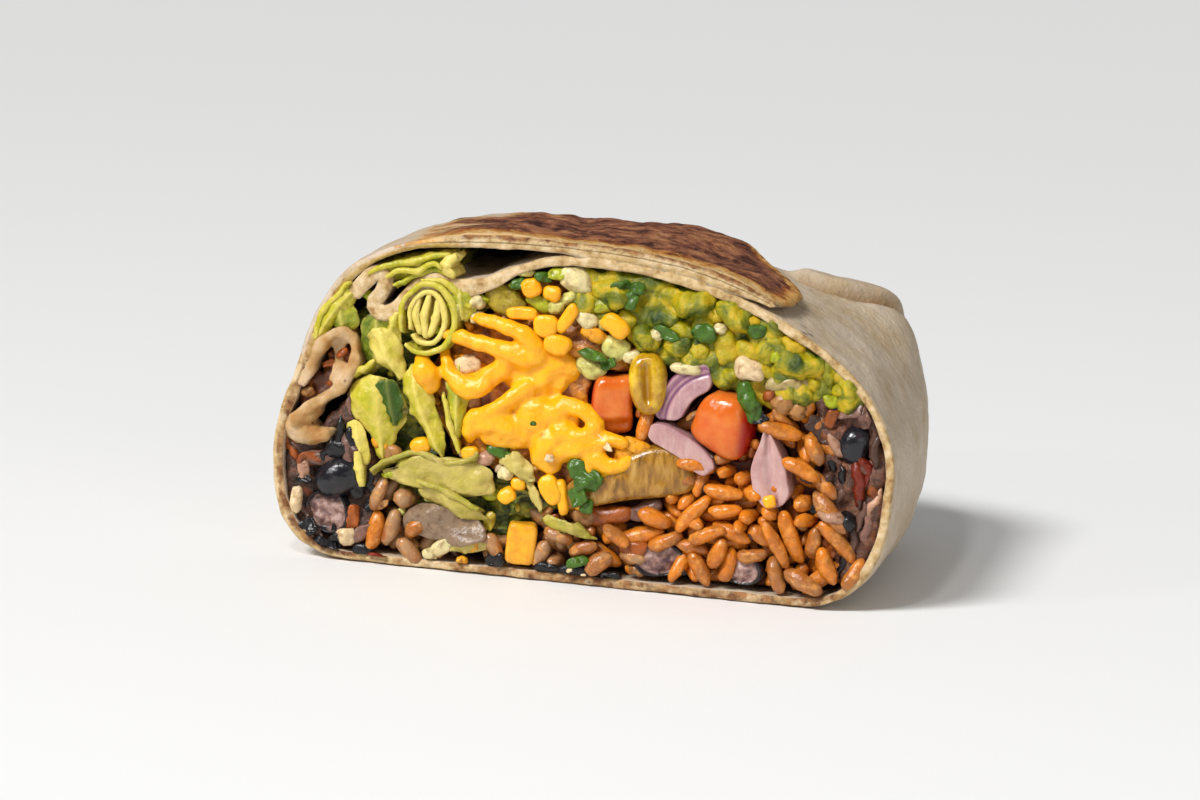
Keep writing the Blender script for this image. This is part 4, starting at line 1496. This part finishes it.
class BURRITO_OT_lettuce(bpy.types.Operator):
    """Make the lettuce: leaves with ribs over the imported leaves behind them"""

    bl_idname = "burrito.lettuce"
    bl_label = "Lettuce"

    def execute(self, context):
        s = context.scene.burrito.filling
        finish = lettuce_finish(s)
        for node, seed in (("lettuce_left", 3), ("lettuce_low", 5), ("lettuce_top", 7)):
            behind = soft_layer(node + "_packed", node, 0.7, lump=1.2, size=3.0, seed=seed, sink=1.5,
                shrink=0.6, triangles=40000)
            f = juicy(node.replace("_", " ") + " behind", 0.38, (0.6, 1, 0.2), 0.15)
            layers = f.span(f.noise(3, 5, 0.6, 1.2, place=f.scaled((0.7, 0.3, 1.3))), 0.3, 0.7)
            f.colour(f.ramp(layers, (0.1, (0.012, 0.02, 0.004)), (0.4, (0.07, 0.1, 0.01)),
                (0.66, (0.28, 0.29, 0.03)), (0.9, s.leaf)))
            f.bump(f.noise(1.4, 4), 0.7)
            settle(dressed(behind, f.material), "lettuce", node)
        for name, table in (("leaves", LEFT_LEAVES), ("low_leaves", LOW_LEAVES), ("top_leaves", TOP_LEAVES)):
            chosen = lettuce_finish(s, "Limp lettuce", 0.5) if table is LOW_LEAVES else finish
            settle(leaves("lettuce_" + name, grown(table), chosen), "lettuce")
        return {"FINISHED"}


# ---------------------------------------------------------------- chunks


def tomato_finish(s, name):
    f = juicy(name, 0.2, (1, 0.3, 0.1), 0.3, 0.0014, Specular_IOR_Level=0.45, Coat_Weight=0.1)
    flesh = f.mix(f.span(f.noise(3.4, 4), 0.35, 0.75), s.tomato, (0.68, 0.2, 0.03))
    f.colour(f.mix(f.mark("skin"), flesh, s.tomato_skin))
    f.bump(f.noise(1.6, 3), 0.2)
    return f.material


class BURRITO_OT_tomato(bpy.types.Operator):
    """Make the two tomato dice, with skin on their outer sides"""

    bl_idname = "burrito.tomato"
    bl_label = "Tomato"

    def execute(self, context):
        s = context.scene.burrito.chunk
        for node, place, size, roll, yaw, seed in (
            ("tomato_middle", (5.2, 3.4, 33), (7.4, 8, 11), 6, 10, 3),
            ("tomato_right", (26, 2.4, 31.8), (10.6, 9, 11.2), -10, -14, 6),
        ):
            p, faces = rounded_block(size, 6.0 if node == "tomato_middle" else 3.3, 16)
            x, depth, z = (p / np.array(size) * 2).T
            if node == "tomato_right":
                p[:, 0] *= 1 - 0.16 * z - 0.1 * z * z
                p[:, 2] -= 1.1 * ease(z, -0.3, -1) * x
                skin = np.maximum(ease(x, 0.72, 0.95), ease(-z, 0.86, 0.98) * 0.8)
            else:
                p[:, 0] += 0.8 * z * ease(z, -1, 1)
                p[:, 1] += 1.6 * ease(-z, 0.35, 0.55) * (depth < 0)
                skin = ease(-x, 0.8, 1.0)
            p = p * (1 + 0.05 * ripple(p, 4.5, seed))[:, None]
            piece = new_piece(node + "_dice", placed(p, place, roll, yaw), faces, None, merge=0.000002,
                skin=skin)
            chunk(piece, tomato_finish(s, node.replace("_", " ")), "tomato", node)
        return {"FINISHED"}


class BURRITO_OT_corn(bpy.types.Operator):
    """Make the corn kernel, with the groove down its middle"""

    bl_idname = "burrito.corn"
    bl_label = "Corn kernel"

    def execute(self, context):
        s = context.scene.burrito.chunk
        p, faces = rounded_block((6.8, 5.6, 11.2), 2.7, 18)
        x, depth, z = (p / np.array((3.4, 2.8, 5.6))).T
        front = depth < 0
        p[:, 0] *= 1 + 0.1 * z - 0.1 * z * z
        groove = np.exp(-((x / 0.24) ** 2)) * (1 - ease(np.abs(z - 0.05), 0.45, 0.8)) * front
        p[:, 1] += 1.25 * groove
        p[:, 1] += 0.25 * ripple(p, 1.6, 2) * ease(z, 0.55, 0.9)
        piece = new_piece("corn", placed(p, (11.9, 1, 37.6), 6, 5), faces, None, merge=0.00002,
            groove=groove)
        f = juicy("Corn", 0.2, (1, 0.7, 0.1), 0.3, 0.0014, Specular_IOR_Level=0.55, Coat_Weight=0.3)
        skin = f.mix(f.span(f.noise(2.6, 3), 0.4, 0.75), s.corn, (0.8, 0.56, 0.02))
        f.colour(f.mix(f.times(f.mark("groove"), 0.75), skin, (0.36, 0.17, 0.01)))
        f.bump(f.noise(1.8, 3), 0.15)
        chunk(piece, f.material, "corn", "corn_kernel")
        return {"FINISHED"}


def onion_layer(radius, thickness, half_angle, deep, cuts=24):
    """A curved slice of onion in mm, its skin outside, and how far through it each point is (0 skin)."""
    angle = np.linspace(-half_angle, half_angle, cuts)
    depths = np.linspace(-deep / 2 + 0.25, deep / 2 - 0.25, 7)
    across = np.linspace(-0.94, 0.94, 13)
    section = [(1, d) for d in depths] + [(t, deep / 2) for t in across[::-1]]
    section += [(-1, d) for d in depths[::-1]] + [(t, -deep / 2) for t in across]
    rings = []
    for a in angle:
        end = math.sqrt(max(0.12, 1 - (abs(a) / half_angle) ** 8))
        rings.append([((radius + t * thickness / 2 * end) * math.sin(a), d,
            (radius + t * thickness / 2 * end) * math.cos(a) - radius) for t, d in section])
    points = np.array(rings).reshape(-1, 3)
    through = (radius + thickness / 2 - np.hypot(points[:, 0], points[:, 2] + radius)) / thickness
    return points, tube_faces(len(rings), len(section)), through


def onion_finish(s, name, stripe, warm):
    f = juicy(name, 0.28, (1, 0.6, 0.7), 0.25, 0.0014, Specular_IOR_Level=0.5)
    flesh = f.mix(f.span(f.noise(3.5, 3), 0.35, 0.75), s.onion, (0.36, 0.18, 0.2))
    flesh = f.mix(warm, flesh, (0.6, 0.35, 0.27))
    grain = f.noise(1.2, 4, 0.6, place=f.scaled((1, 0.2, 0.3)))
    flesh = f.mix(f.span(grain, 0.45, 0.72, 0, 0.55), flesh, (0.64, 0.46, 0.42))
    flesh = f.mix(f.span(f.noise(2.2, 5, 0.6, 1), 0.52, 0.7, 0, 0.45), flesh,
        f.mix(warm, (0.3, 0.12, 0.17), (0.5, 0.24, 0.16)))
    f.colour(f.mix(f.times(f.mark("skin"), stripe), flesh, s.onion_skin))
    f.bump(grain, 0.15)
    return f.material


class BURRITO_OT_onion(bpy.types.Operator):
    """Make the three pieces of red onion"""

    bl_idname = "burrito.onion"
    bl_label = "Onion"

    def execute(self, context):
        s = context.scene.burrito.chunk
        for node, shape, place, roll, stripe, warm in (
            ("onion_purple", (9, 5.6, 0.7, 7.5), (17.9, 4, 37), 50, 1, 0),
            ("onion_slice", (22, 4, 0.31, 6.5), (19, 2.8, 27), -30, 0.25, 0.25),
            ("onion_petal", (26, 4.8, 0.27, 6), (34.6, 2.2, 24.4), 98, 0.15, 0.35),
        ):
            p, faces, through = onion_layer(*shape)
            if node == "onion_purple":
                skin = sum(np.exp(-(((through - at) / 0.06) ** 2)) for at in (0.02, 0.24, 0.42))
                p[:, 1] += 0.5 * skin * (p[:, 1] < -2)
            elif node == "onion_petal":
                p[:, 1] += 0.8 * np.exp(-(((through - 0.5) / 0.12) ** 2)) * (p[:, 1] < 0)
                skin = np.exp(-(((through - 0.5) / 0.1) ** 2))
                reach = p[:, 0] / 7
                p[:, 2] *= 1.35 - 0.95 * ease(reach, -0.1, 1) - 0.3 * ease(-reach, 0.5, 1)
            else:
                skin = np.exp(-((through / 0.16) ** 2))
            p = p + 0.12 * ripple(p, 3.0, 4)[:, None]
            piece = new_piece(node + "_piece", placed(p, place, roll), faces, None, skin=skin)
            chunk(piece, onion_finish(s, node.replace("_", " "), stripe, warm), "onion", node)
        return {"FINISHED"}


class BURRITO_OT_pepper(bpy.types.Operator):
    """Make the wedge of pickled pepper"""

    bl_idname = "burrito.pepper"
    bl_label = "Pickled pepper"

    def execute(self, context):
        s = context.scene.burrito.chunk
        p, faces = rounded_block((25.5, 7.4, 11.4), 3.6, 20)
        x, depth, _ = (p / np.array((12.75, 3.7, 5.7))).T
        p[:, 2] *= 0.72 + 0.28 * x
        p[:, 2] += 1.5 * (1 - x * x)
        p[:, 1] += 0.3 * ripple(p, 3, 5) * (depth < 0)
        piece = new_piece("pepper_wedge", placed(p, (8.8, 2.6, 18.6), 20), faces, None, merge=0.00002)
        f = juicy("Pickled pepper", 0.24, (1, 0.7, 0.2), 0.4, 0.002, Specular_IOR_Level=0.5,
            Coat_Weight=0.2)
        threads = f.noise(1.6, 4, 0.6, 0.4, place=f.scaled((1, 1, 0.3)))
        f.colour(f.ramp(threads, (0.32, (0.15, 0.06, 0.006)), (0.5, s.pepper),
            (0.72, (0.52, 0.31, 0.07))))
        f.bump(threads, 0.3)
        chunk(piece, f.material, "pepper", "pickled_pepper")
        return {"FINISHED"}


class BURRITO_OT_black_beans(bpy.types.Operator):
    """Make the black beans, whole and cut"""

    bl_idname = "burrito.black_beans"
    bl_label = "Black beans"

    def execute(self, context):
        s = context.scene.burrito.chunk
        for k, (node, size, place, roll, yaw, opened) in enumerate((
            ("black_bean_upper", (10.4, 8, 7.6), (-44, 2.6, 15.2), 30, 10, 0),
            ("black_bean_cut", (9.2, 8, 8.4), (-45.8, 2.4, 8.6), -16, -12, 1),
            ("black_bean_middle", (9.6, 7, 6.4), (15.8, 2.4, 5.8), 8, 8, 0.7),
            ("black_bean_right", (7.8, 6, 5.8), (31, 2.2, 5.6), 0, -10, 0.7),
            ("black_bean_wall", (7.4, 6.5, 6), (49.2, 3.2, 29.8), 70, 0, 0),
        )):
            p, faces = rounded_block(size, 2.2, 18)
            x, depth, z = (p / np.array(size) * 2).T
            p[:, 2] -= size[2] * 0.08 * (x * x) - size[2] * 0.03
            inside = np.zeros(len(p))
            if opened:
                flat = ease(np.hypot(x, z), 0.98, 0.74) * (depth < 0) * opened
                p[:, 1] += flat * (size[1] * 0.3 * np.clip(-depth, 0, 1) + 0.5)
                p[:, 1] += 0.55 * ripple(p, 1.6, k, 3) * flat
                inside = ease(np.hypot(x, z) + 0.12 * ripple(p, 2, k + 4), 0.86, 0.74) * (depth < 0)
            p = p * (1 + 0.035 * ripple(p, 3.5, k + 9))[:, None]
            piece = new_piece(node + "_whole", placed(p, place, roll, yaw), faces, None, merge=0.00002,
                inside=inside)
            f = Finish(node.replace("_", " "), 0.24, Specular_IOR_Level=0.5)
            skin = f.mix(f.span(f.noise(2.2, 4), 0.5, 0.8, 0, 0.5), s.bean, (0.06, 0.035, 0.04))
            meal = f.ramp(f.noise(1.7, 4, 0.6), (0.34, (0.07, 0.03, 0.035)), (0.5, s.bean_inside),
                (0.72, (0.55, 0.38, 0.33)))
            f.colour(f.mix(f.mark("inside"), skin, meal))
            f.set("Roughness", f.span(f.mark("inside"), 0, 1, 0.22, 0.5))
            f.bump(f.noise(1.3, 3), 0.15)
            chunk(piece, f.material, "black_bean", node)
        return {"FINISHED"}


class BURRITO_OT_cheddar(bpy.types.Operator):
    """Make the block of unmelted cheddar among the lower rice"""

    bl_idname = "burrito.cheddar"
    bl_label = "Cheddar block"

    def execute(self, context):
        p, faces = rounded_block((5.4, 4.6, 7.6), 7.0, 12)
        p = p * (1 + 0.05 * ripple(p, 3, 3))[:, None]
        piece = new_piece("cheddar_block", placed(p, (-9.5, 1.2, 6.5), -4, 12), faces, None, merge=0.00002)
        f = juicy("Cheddar", 0.3, (1, 0.5, 0.1), 0.3)
        f.colour(f.mix(f.span(f.noise(2, 3), 0.4, 0.75), (0.88, 0.42, 0.015), (0.66, 0.26, 0.012)))
        f.bump(f.noise(1.2, 3), 0.2)
        chunk(piece, f.material, "cheddar", "cheddar_chunk")
        return {"FINISHED"}


# ---------------------------------------------------------------- scraps


SCRAP_COLOURS = {"herb": (0.055, 0.13, 0.01), "leaf": (0.36, 0.38, 0.02), "pale": (0.54, 0.5, 0.14),
    "white": (0.66, 0.56, 0.28), "olive": (0.34, 0.26, 0.02), "cream": (0.7, 0.52, 0.3),
    "grey": (0.36, 0.27, 0.1), "pink": (0.44, 0.24, 0.15), "tan": (0.36, 0.17, 0.05),
    "rust": (0.3, 0.075, 0.012), "red": (0.2, 0.02, 0.006), "skin": (0.01, 0.009, 0.01),
    "plum": (0.075, 0.034, 0.022), "mauve": (0.17, 0.085, 0.062), "amber": (0.74, 0.32, 0.012),
    "lime": (0.34, 0.38, 0.008), "glassy": (0.24, 0.16, 0.1)}
# scraps among the fillings: kind, x, z, across, high (mm), turn (degrees), thickness (mm), and how deep
# the middle lies (mm)
SCRAPS = (("olive", -15.2, 50, 8.2, 5.4, -16, 3, 1.4), ("white", -20.3, 49.4, 3.2, 2.6, 20, 2.6, 0.4),
    ("white", -19.8, 46.6, 3, 2.2, 0, 2.4, 0.4), ("pale", -23, 47.4, 2.6, 3.6, 24, 1.6, 0.2),
    ("herb", -12.6, 53.4, 3, 2, 10, 1.4, 0.6), ("herb", -8.2, 55, 3.4, 1.8, -8, 1.4, 0.8),
    ("white", -2.4, 54.8, 6.4, 4.8, -24, 3.4, 0.6), ("pale", -5.6, 49.8, 3.2, 2.6, 0, 2.6, 0.2),
    ("pale", -3.4, 51.6, 3, 2.6, 30, 2.6, 0.4), ("leaf", -8.6, 50.2, 4.6, 3, -20, 1.8, 0.8),
    ("pale", -12, 55.6, 4.4, 2.2, 4, 2, 0.8), ("leaf", -5.6, 55.8, 4, 2, 0, 1.6, 0.8),
    ("white", 0.3, 48.2, 3.8, 3, -20, 2.8, -0.2), ("amber", 1.4, 45.6, 5, 2.8, -34, 2.4, 0),
    ("pale", 5.6, 43.4, 5.2, 3.8, -20, 3, 0.4), ("pale", 1.6, 39.4, 5.6, 4, -14, 3, 0.6),
    ("herb", 1.9, 42, 5.6, 1.8, -12, 1.2, -0.4), ("white", 8.6, 42.2, 3.2, 2.6, 0, 2.4, 0.6),
    ("herb", 4.6, 40.6, 3.4, 2, 20, 1.2, 0), ("leaf", 2.8, 51.2, 4.2, 3.2, 10, 2.4, 0.6),
    ("pale", 3.6, 47.6, 3, 2.6, 0, 2.4, 0.4), ("herb", 6.2, 54.4, 4, 3, 20, 1.2, -0.6),
    ("herb", 7.8, 52.6, 3.4, 3.6, -30, 1.2, -0.8), ("herb", 5.4, 51.8, 3.4, 2.4, 60, 1.2, -0.5),
    ("herb", 9.2, 54.6, 2.6, 2.2, 0, 1, -0.6), ("herb", 21.5, 47.7, 4.4, 3.2, -12, 1.2, -0.2),
    ("herb", 14.8, 47, 4.6, 2.2, -20, 1.2, -0.4), ("herb", 30.9, 48.7, 3.4, 2.6, 0, 1.2, -0.2),
    ("white", 18.6, 41, 5.6, 2.4, 4, 2.4, 0.2), ("white", 13, 46.6, 2.4, 2, 0, 2, -0.3),
    ("cream", 29.9, 41.8, 5.6, 4.4, -20, 3.8, -0.2), ("grey", 36.6, 39.8, 7.4, 3, 6, 2.6, 0.2),
    ("tan", 36.2, 36.2, 4.8, 4.2, 10, 3.8, 0.4), ("rust", 34, 37.4, 3.2, 2.4, 30, 2.4, 0.6),
    ("tan", 38.8, 35, 3.2, 2.8, 0, 2.6, 0.6), ("white", 24.2, 48.6, 2.2, 1.8, 0, 1.8, -0.2),
    ("herb", 29.7, 37.4, 3.6, 4.6, 24, 1.2, -0.8), ("herb", 31.2, 34.8, 3, 4.6, 10, 1.2, -0.6),
    ("skin", 32.4, 33.4, 3.2, 2.6, -30, 1, 0), ("lime", 34.6, 44.4, 2.6, 2.2, 0, 2, -0.2),
    ("lime", 39.6, 43.2, 2.6, 2.2, 0, 2.2, -0.2), ("lime", 44.8, 37.6, 3.4, 2.4, -10, 2.2, 0.2),
    ("herb", 0.4, 21.6, 3.4, 3.4, 20, 1, -1.6), ("herb", 2.4, 19.2, 4.6, 3.6, -10, 1, -1.8),
    ("herb", 1, 16.6, 3.6, 4, 30, 1, -1.6), ("herb", 4, 20.2, 3.2, 2.2, -30, 1, -1.5),
    ("herb", 2.6, 14.8, 2.4, 2.6, 0, 1, -1.2), ("herb", -7.6, 29.2, 1.2, 0.9, 0, 0.6, -3.4),
    ("herb", -14.6, 23.6, 4.4, 3.4, -24, 1.4, 0.4), ("herb", -12.2, 21.8, 3, 2.6, 0, 1.4, 0.8),
    ("herb", 1.4, 4.4, 4.6, 2, 20, 1.2, -0.6), ("cream", -21.2, 38, 4.4, 4, 0, 3.4, 0.6),
    ("pink", -16.8, 21.4, 3.4, 2.6, 10, 2.6, 0.2), ("cream", -9.6, 20, 2.6, 3.4, 20, 2.4, -0.4),
    ("white", -13, 19.2, 3, 2.6, 0, 2.4, -0.2), ("white", -23.6, 4.8, 5, 3.2, 30, 2.6, -0.4),
    ("cream", -19.4, 6.4, 3.4, 3, -20, 2.8, -0.4), ("amber", -17.8, 5.8, 2, 3.4, 10, 2, -0.6),
    ("white", -26, 2.9, 3, 2.2, 0, 2.2, 0), ("amber", -20, 2.4, 2.2, 1.4, 0, 1.4, 0),
    ("glassy", -23.5, 8.6, 14, 6.4, -6, 1.6, 0.2), ("tan", -34.6, 20.6, 4.4, 3.2, 10, 2.8, 0.4),
    ("amber", -36.4, 22.2, 3.4, 2.4, -20, 2.2, 0.2), ("tan", -22.6, 31.6, 2.6, 4, 10, 2.4, 0.8),
    ("tan", -19.8, 31.4, 2.8, 3, 0, 2.4, 1), ("cream", -4.6, 23, 1.6, 1.4, 0, 1.2, -2),
    ("cream", 4.6, 26.8, 5.2, 1.4, -34, 1.2, -1.6), ("amber", 10.6, 26, 5, 3, -24, 2.6, 0.2),
    ("amber", 12.6, 23.6, 5.2, 3.2, -10, 2.6, 0.2), ("amber", 8.4, 24.4, 4, 3.4, 10, 2.6, 0.2),
    ("skin", -46, 2.6, 5.4, 2.6, -10, 1, -0.2), ("skin", -43, 4.2, 3.8, 2.2, 14, 1, -0.1),
    ("skin", -49, 5.6, 3.2, 3.4, 40, 1, 0), ("skin", -38.7, 2.4, 4.2, 2.4, 0, 1.8, 0),
    ("red", -36.4, 1.4, 3.4, 1.4, 0, 1.4, -0.2), ("skin", 1.4, 2.6, 8.4, 3, 4, 2.4, -0.2),
    ("skin", -4.6, 2.4, 4.6, 2.2, -6, 1.8, 0), ("skin", 7.4, 2, 4, 2.2, 8, 1.6, 0),
    ("cream", 0.2, 2.9, 1.2, 0.7, 20, 0.5, -1.6), ("cream", 2.8, 2.2, 1, 0.6, 0, 0.5, -1.5),
    ("skin", -13.8, 3, 3.8, 2.6, 20, 1.6, 0.2), ("pink", -50.6, 15.8, 2.2, 4.4, 10, 1.6, 0.6),
    ("cream", -51.8, 10.4, 2.2, 4.8, 0, 1.6, 0.6), ("mauve", -42.6, 20.4, 2.6, 6.6, 6, 2.2, 0.4),
    ("skin", -44.4, 20.6, 4.6, 3, 30, 2, 0.2), ("skin", -41.8, 22.6, 3, 4.2, 0, 2, 0.4),
    ("skin", -40.6, 13.4, 3.2, 4.4, 12, 2, 0.6), ("mauve", -48, 18.6, 7.4, 2.6, 6, 2.2, 0.8),
    ("white", 46.2, 7.2, 2.4, 2, 30, 1.8, -0.6), ("cream", -41.8, 4.6, 3.4, 3.2, 0, 3, -0.4),
    ("rust", 11.2, 7.4, 5, 3.2, 12, 2.6, 0.6), ("rust", 5.6, 13, 9, 3.6, 10, 3.2, 1),
    ("mauve", 12.4, 14.4, 7, 3.2, 22, 3, 1.4), ("tan", 1.6, 12.6, 5, 3.4, 0, 3, 0.8))
# where chance scatters more: which solids, how many mm apart, sizes (mm), and the kinds, some named twice
SCATTERED = (
    (("beans_right",), 2.3, (2.2, 5.6), ("plum", "mauve", "skin", "mauve", "rust", "plum", "pink",
     "skin", "red")),
    (("beans_left",), 3.4, (2, 4.4), ("plum", "skin", "mauve", "skin", "rust")),
    (("rice",), 4.6, (1.2, 3), ("rust", "tan", "plum", "rust", "skin")),
    (("lettuce_low", "lettuce_left"), 4.4, (1.4, 3.6), ("leaf", "pale", "lime", "tan", "leaf", "olive")),
    (("bean_sauce",), 2.6, (1.4, 3), ("rust", "tan", "rust")),
    (("melted_cheese",), 4.8, (1.4, 3.2), ("tan", "amber", "amber", "cream")),
)


class BURRITO_OT_scraps(bpy.types.Operator):
    """Make the small scraps: chopped herbs, onion, bean skins, bits of bean and spice"""

    bl_idname = "burrito.scraps"
    bl_label = "Scraps"

    def execute(self, context):
        chance = np.random.default_rng(8)
        made = {"scraps_placed": [], "scraps_scattered": []}
        for k, (kind, x, z, across, high, turn, thick, depth) in enumerate(SCRAPS):
            if thick < 1.7:
                p, faces = flake((x, depth, z), (across, high, thick), k, turn, 14 if k % 2 else -12)
            else:
                p, faces = pebble((x, depth + thick * 0.25, z), (across, thick, high), k, turn, 0.34, 7,
                    2.4)
            made["scraps_placed"].append((within_wrap(p, 1.2), faces, SCRAP_COLOURS[kind]))
        for n, (nodes, spacing, sizes, kinds) in enumerate(SCATTERED):
            in_mash = n < 2  # more shreds and flakes there, and nearer the cut
            for k, (x, z) in enumerate(scatter(CUT.room(*nodes), spacing, 40 + n, least=0.9)):
                size = chance.uniform(*sizes)
                place = (x, chance.uniform(*((0.3, 1.6) if in_mash else (1, 2.6))), z)
                turn = chance.uniform(0, 180)
                if in_mash and chance.uniform() < 0.6:
                    p, faces = shred((x, place[1] + 0.4, z), size * 1.5, size * 0.42, k,
                        -78 + chance.uniform(-30, 30))
                elif chance.uniform() < (0.85 if in_mash else 0.4):
                    p, faces = flake(place, (size * 1.3, size * 0.7, 0.9), k, turn, chance.uniform(-30, 30))
                else:
                    p, faces = pebble(place, (size, size * 0.8, size * chance.uniform(0.4, 0.9)), k,
                        turn, 0.4, 4, 2.2)
                tone = np.array(SCRAP_COLOURS[kinds[k % len(kinds)]]) * chance.uniform(0.7, 1.3)
                made["scraps_scattered"].append((within_wrap(p, 1), faces, tuple(np.minimum(tone, 0.9))))
        for name, bodies in made.items():
            settle(bits(name, bodies), "bean_mash")
        return {"FINISHED"}


# ---------------------------------------------------------------- floor, lights and camera


FLOOR_CORNERS = ((-3, -3, 0), (3, -3, 0), (3, 5, 0), (-3, 5, 0))  # m
# the surroundings' brightness for plain rays, and what glossy and camera rays see instead
SKY, SKY_SEEN = 0.32, (("Is Glossy Ray", 0.06), ("Is Camera Ray", 1))
KEY_POWER, KEY_SPREAD, KEY_LINE = 2.75, math.radians(15), (0.42, 0.62, -0.72)
# smaller lights: name, place (m), size (m), power (W)
LIGHTS = (
    ("fill", (0.7, -0.8, 0.3), 0.5, 0.9),
    ("gleam", (-0.1, -0.55, 0.65), 0.07, 1.2),
    ("glint", (-0.5, -0.6, 0.35), 0.06, 0.6),
)
AIM_DEPTH = 0.02  # the camera looks at a place this far behind the cut (m)


class BURRITO_OT_stage(bpy.types.Operator):
    """Make the pale floor, soft lights and camera"""

    bl_idname = "burrito.stage"
    bl_label = "Floor, lights and camera"

    def execute(self, context):
        s = context.scene.burrito.stage
        low, high = CAD_BOX
        middle = (Vector(low) + Vector(high)) / 2
        mesh = bpy.data.meshes.new("floor")
        mesh.from_pydata(FLOOR_CORNERS, [], [(0, 1, 2, 3)])
        floor = bpy.data.objects.new("floor", mesh)
        context.scene.collection.objects.link(floor)
        f = Finish("Floor", 0.7)
        f.colour(s.floor)
        mesh.materials.append(f.material)

        world = bpy.data.worlds.new("Studio")
        world.use_nodes = True
        sky = world.node_tree.nodes["Background"]
        sky.inputs["Color"].default_value = (1, 1, 1, 1)
        links, nodes = world.node_tree.links, world.node_tree.nodes
        ray = nodes.new("ShaderNodeLightPath")
        strength = SKY
        for kind, amount in SKY_SEEN:
            choose = nodes.new("ShaderNodeMix")
            links.new(ray.outputs[kind], choose.inputs["Factor"])
            if isinstance(strength, float):
                choose.inputs["A"].default_value = strength
            else:
                links.new(strength, choose.inputs["A"])
            choose.inputs["B"].default_value = amount
            strength = choose.outputs["Result"]
        links.new(strength, sky.inputs["Strength"])
        context.scene.world = world
        sun = bpy.data.lights.new("key", "SUN")
        sun.energy, sun.angle = KEY_POWER, KEY_SPREAD
        lamp = bpy.data.objects.new("key", sun)
        lamp.rotation_euler = Vector(KEY_LINE).to_track_quat("-Z", "Y").to_euler()
        context.scene.collection.objects.link(lamp)
        for name, place, size, power in LIGHTS:
            light = bpy.data.lights.new(name, "AREA")
            light.shape, light.size, light.energy = "DISK", size, power
            lamp = bpy.data.objects.new(name, light)
            lamp.location = Vector(place)
            lamp.rotation_euler = (middle - lamp.location).to_track_quat("-Z", "Y").to_euler()
            context.scene.collection.objects.link(lamp)

        camera = bpy.data.cameras.new("camera")
        camera.lens, camera.sensor_width, camera.clip_start = s.lens, 36, 0.01
        eye = bpy.data.objects.new("camera", camera)
        flat = math.cos(s.elevation)
        line = Vector((math.sin(s.azimuth) * flat, -math.cos(s.azimuth) * flat, math.sin(s.elevation)))
        aim = Vector((middle.x, low[1] + AIM_DEPTH, middle.z))
        eye.location = aim + line * s.distance
        turn = (-line).to_track_quat("-Z", "Y")
        eye.rotation_euler = (turn @ Euler((0, 0, s.lean)).to_quaternion()).to_euler()
        context.scene.collection.objects.link(eye)
        context.scene.camera = eye
        context.scene.view_settings.view_transform = "Standard"
        return {"FINISHED"}


class BURRITO_PT_panel(bpy.types.Panel):
    """The burrito's pieces in the sidebar"""

    bl_idname = "BURRITO_PT_panel"
    bl_label = "Burrito"
    bl_space_type = "VIEW_3D"
    bl_region_type = "UI"
    bl_category = "Burrito"

    def draw(self, context):
        for operator in OPERATORS:
            self.layout.operator(operator.bl_idname)


OPERATORS = (BURRITO_OT_tortilla, BURRITO_OT_tuck, BURRITO_OT_guacamole, BURRITO_OT_beans,
    BURRITO_OT_rice, BURRITO_OT_cheese, BURRITO_OT_lettuce, BURRITO_OT_tomato, BURRITO_OT_corn,
    BURRITO_OT_onion, BURRITO_OT_pepper, BURRITO_OT_black_beans, BURRITO_OT_cheddar, BURRITO_OT_scraps,
    BURRITO_OT_stage)
CLASSES = (TortillaSettings, FillingSettings, RiceSettings, ChunkSettings, StageSettings,
    BurritoSettings, *OPERATORS, BURRITO_PT_panel)


def register():
    for made in CLASSES:
        bpy.utils.register_class(made)
    bpy.types.Scene.burrito = bpy.props.PointerProperty(type=BurritoSettings)


def unregister():
    del bpy.types.Scene.burrito
    for made in reversed(CLASSES):
        bpy.utils.unregister_class(made)


def main():
    register()
    for operator in OPERATORS:
        group, name = operator.bl_idname.split(".")
        getattr(getattr(bpy.ops, group), name)()


if __name__ == "__main__":
    main()
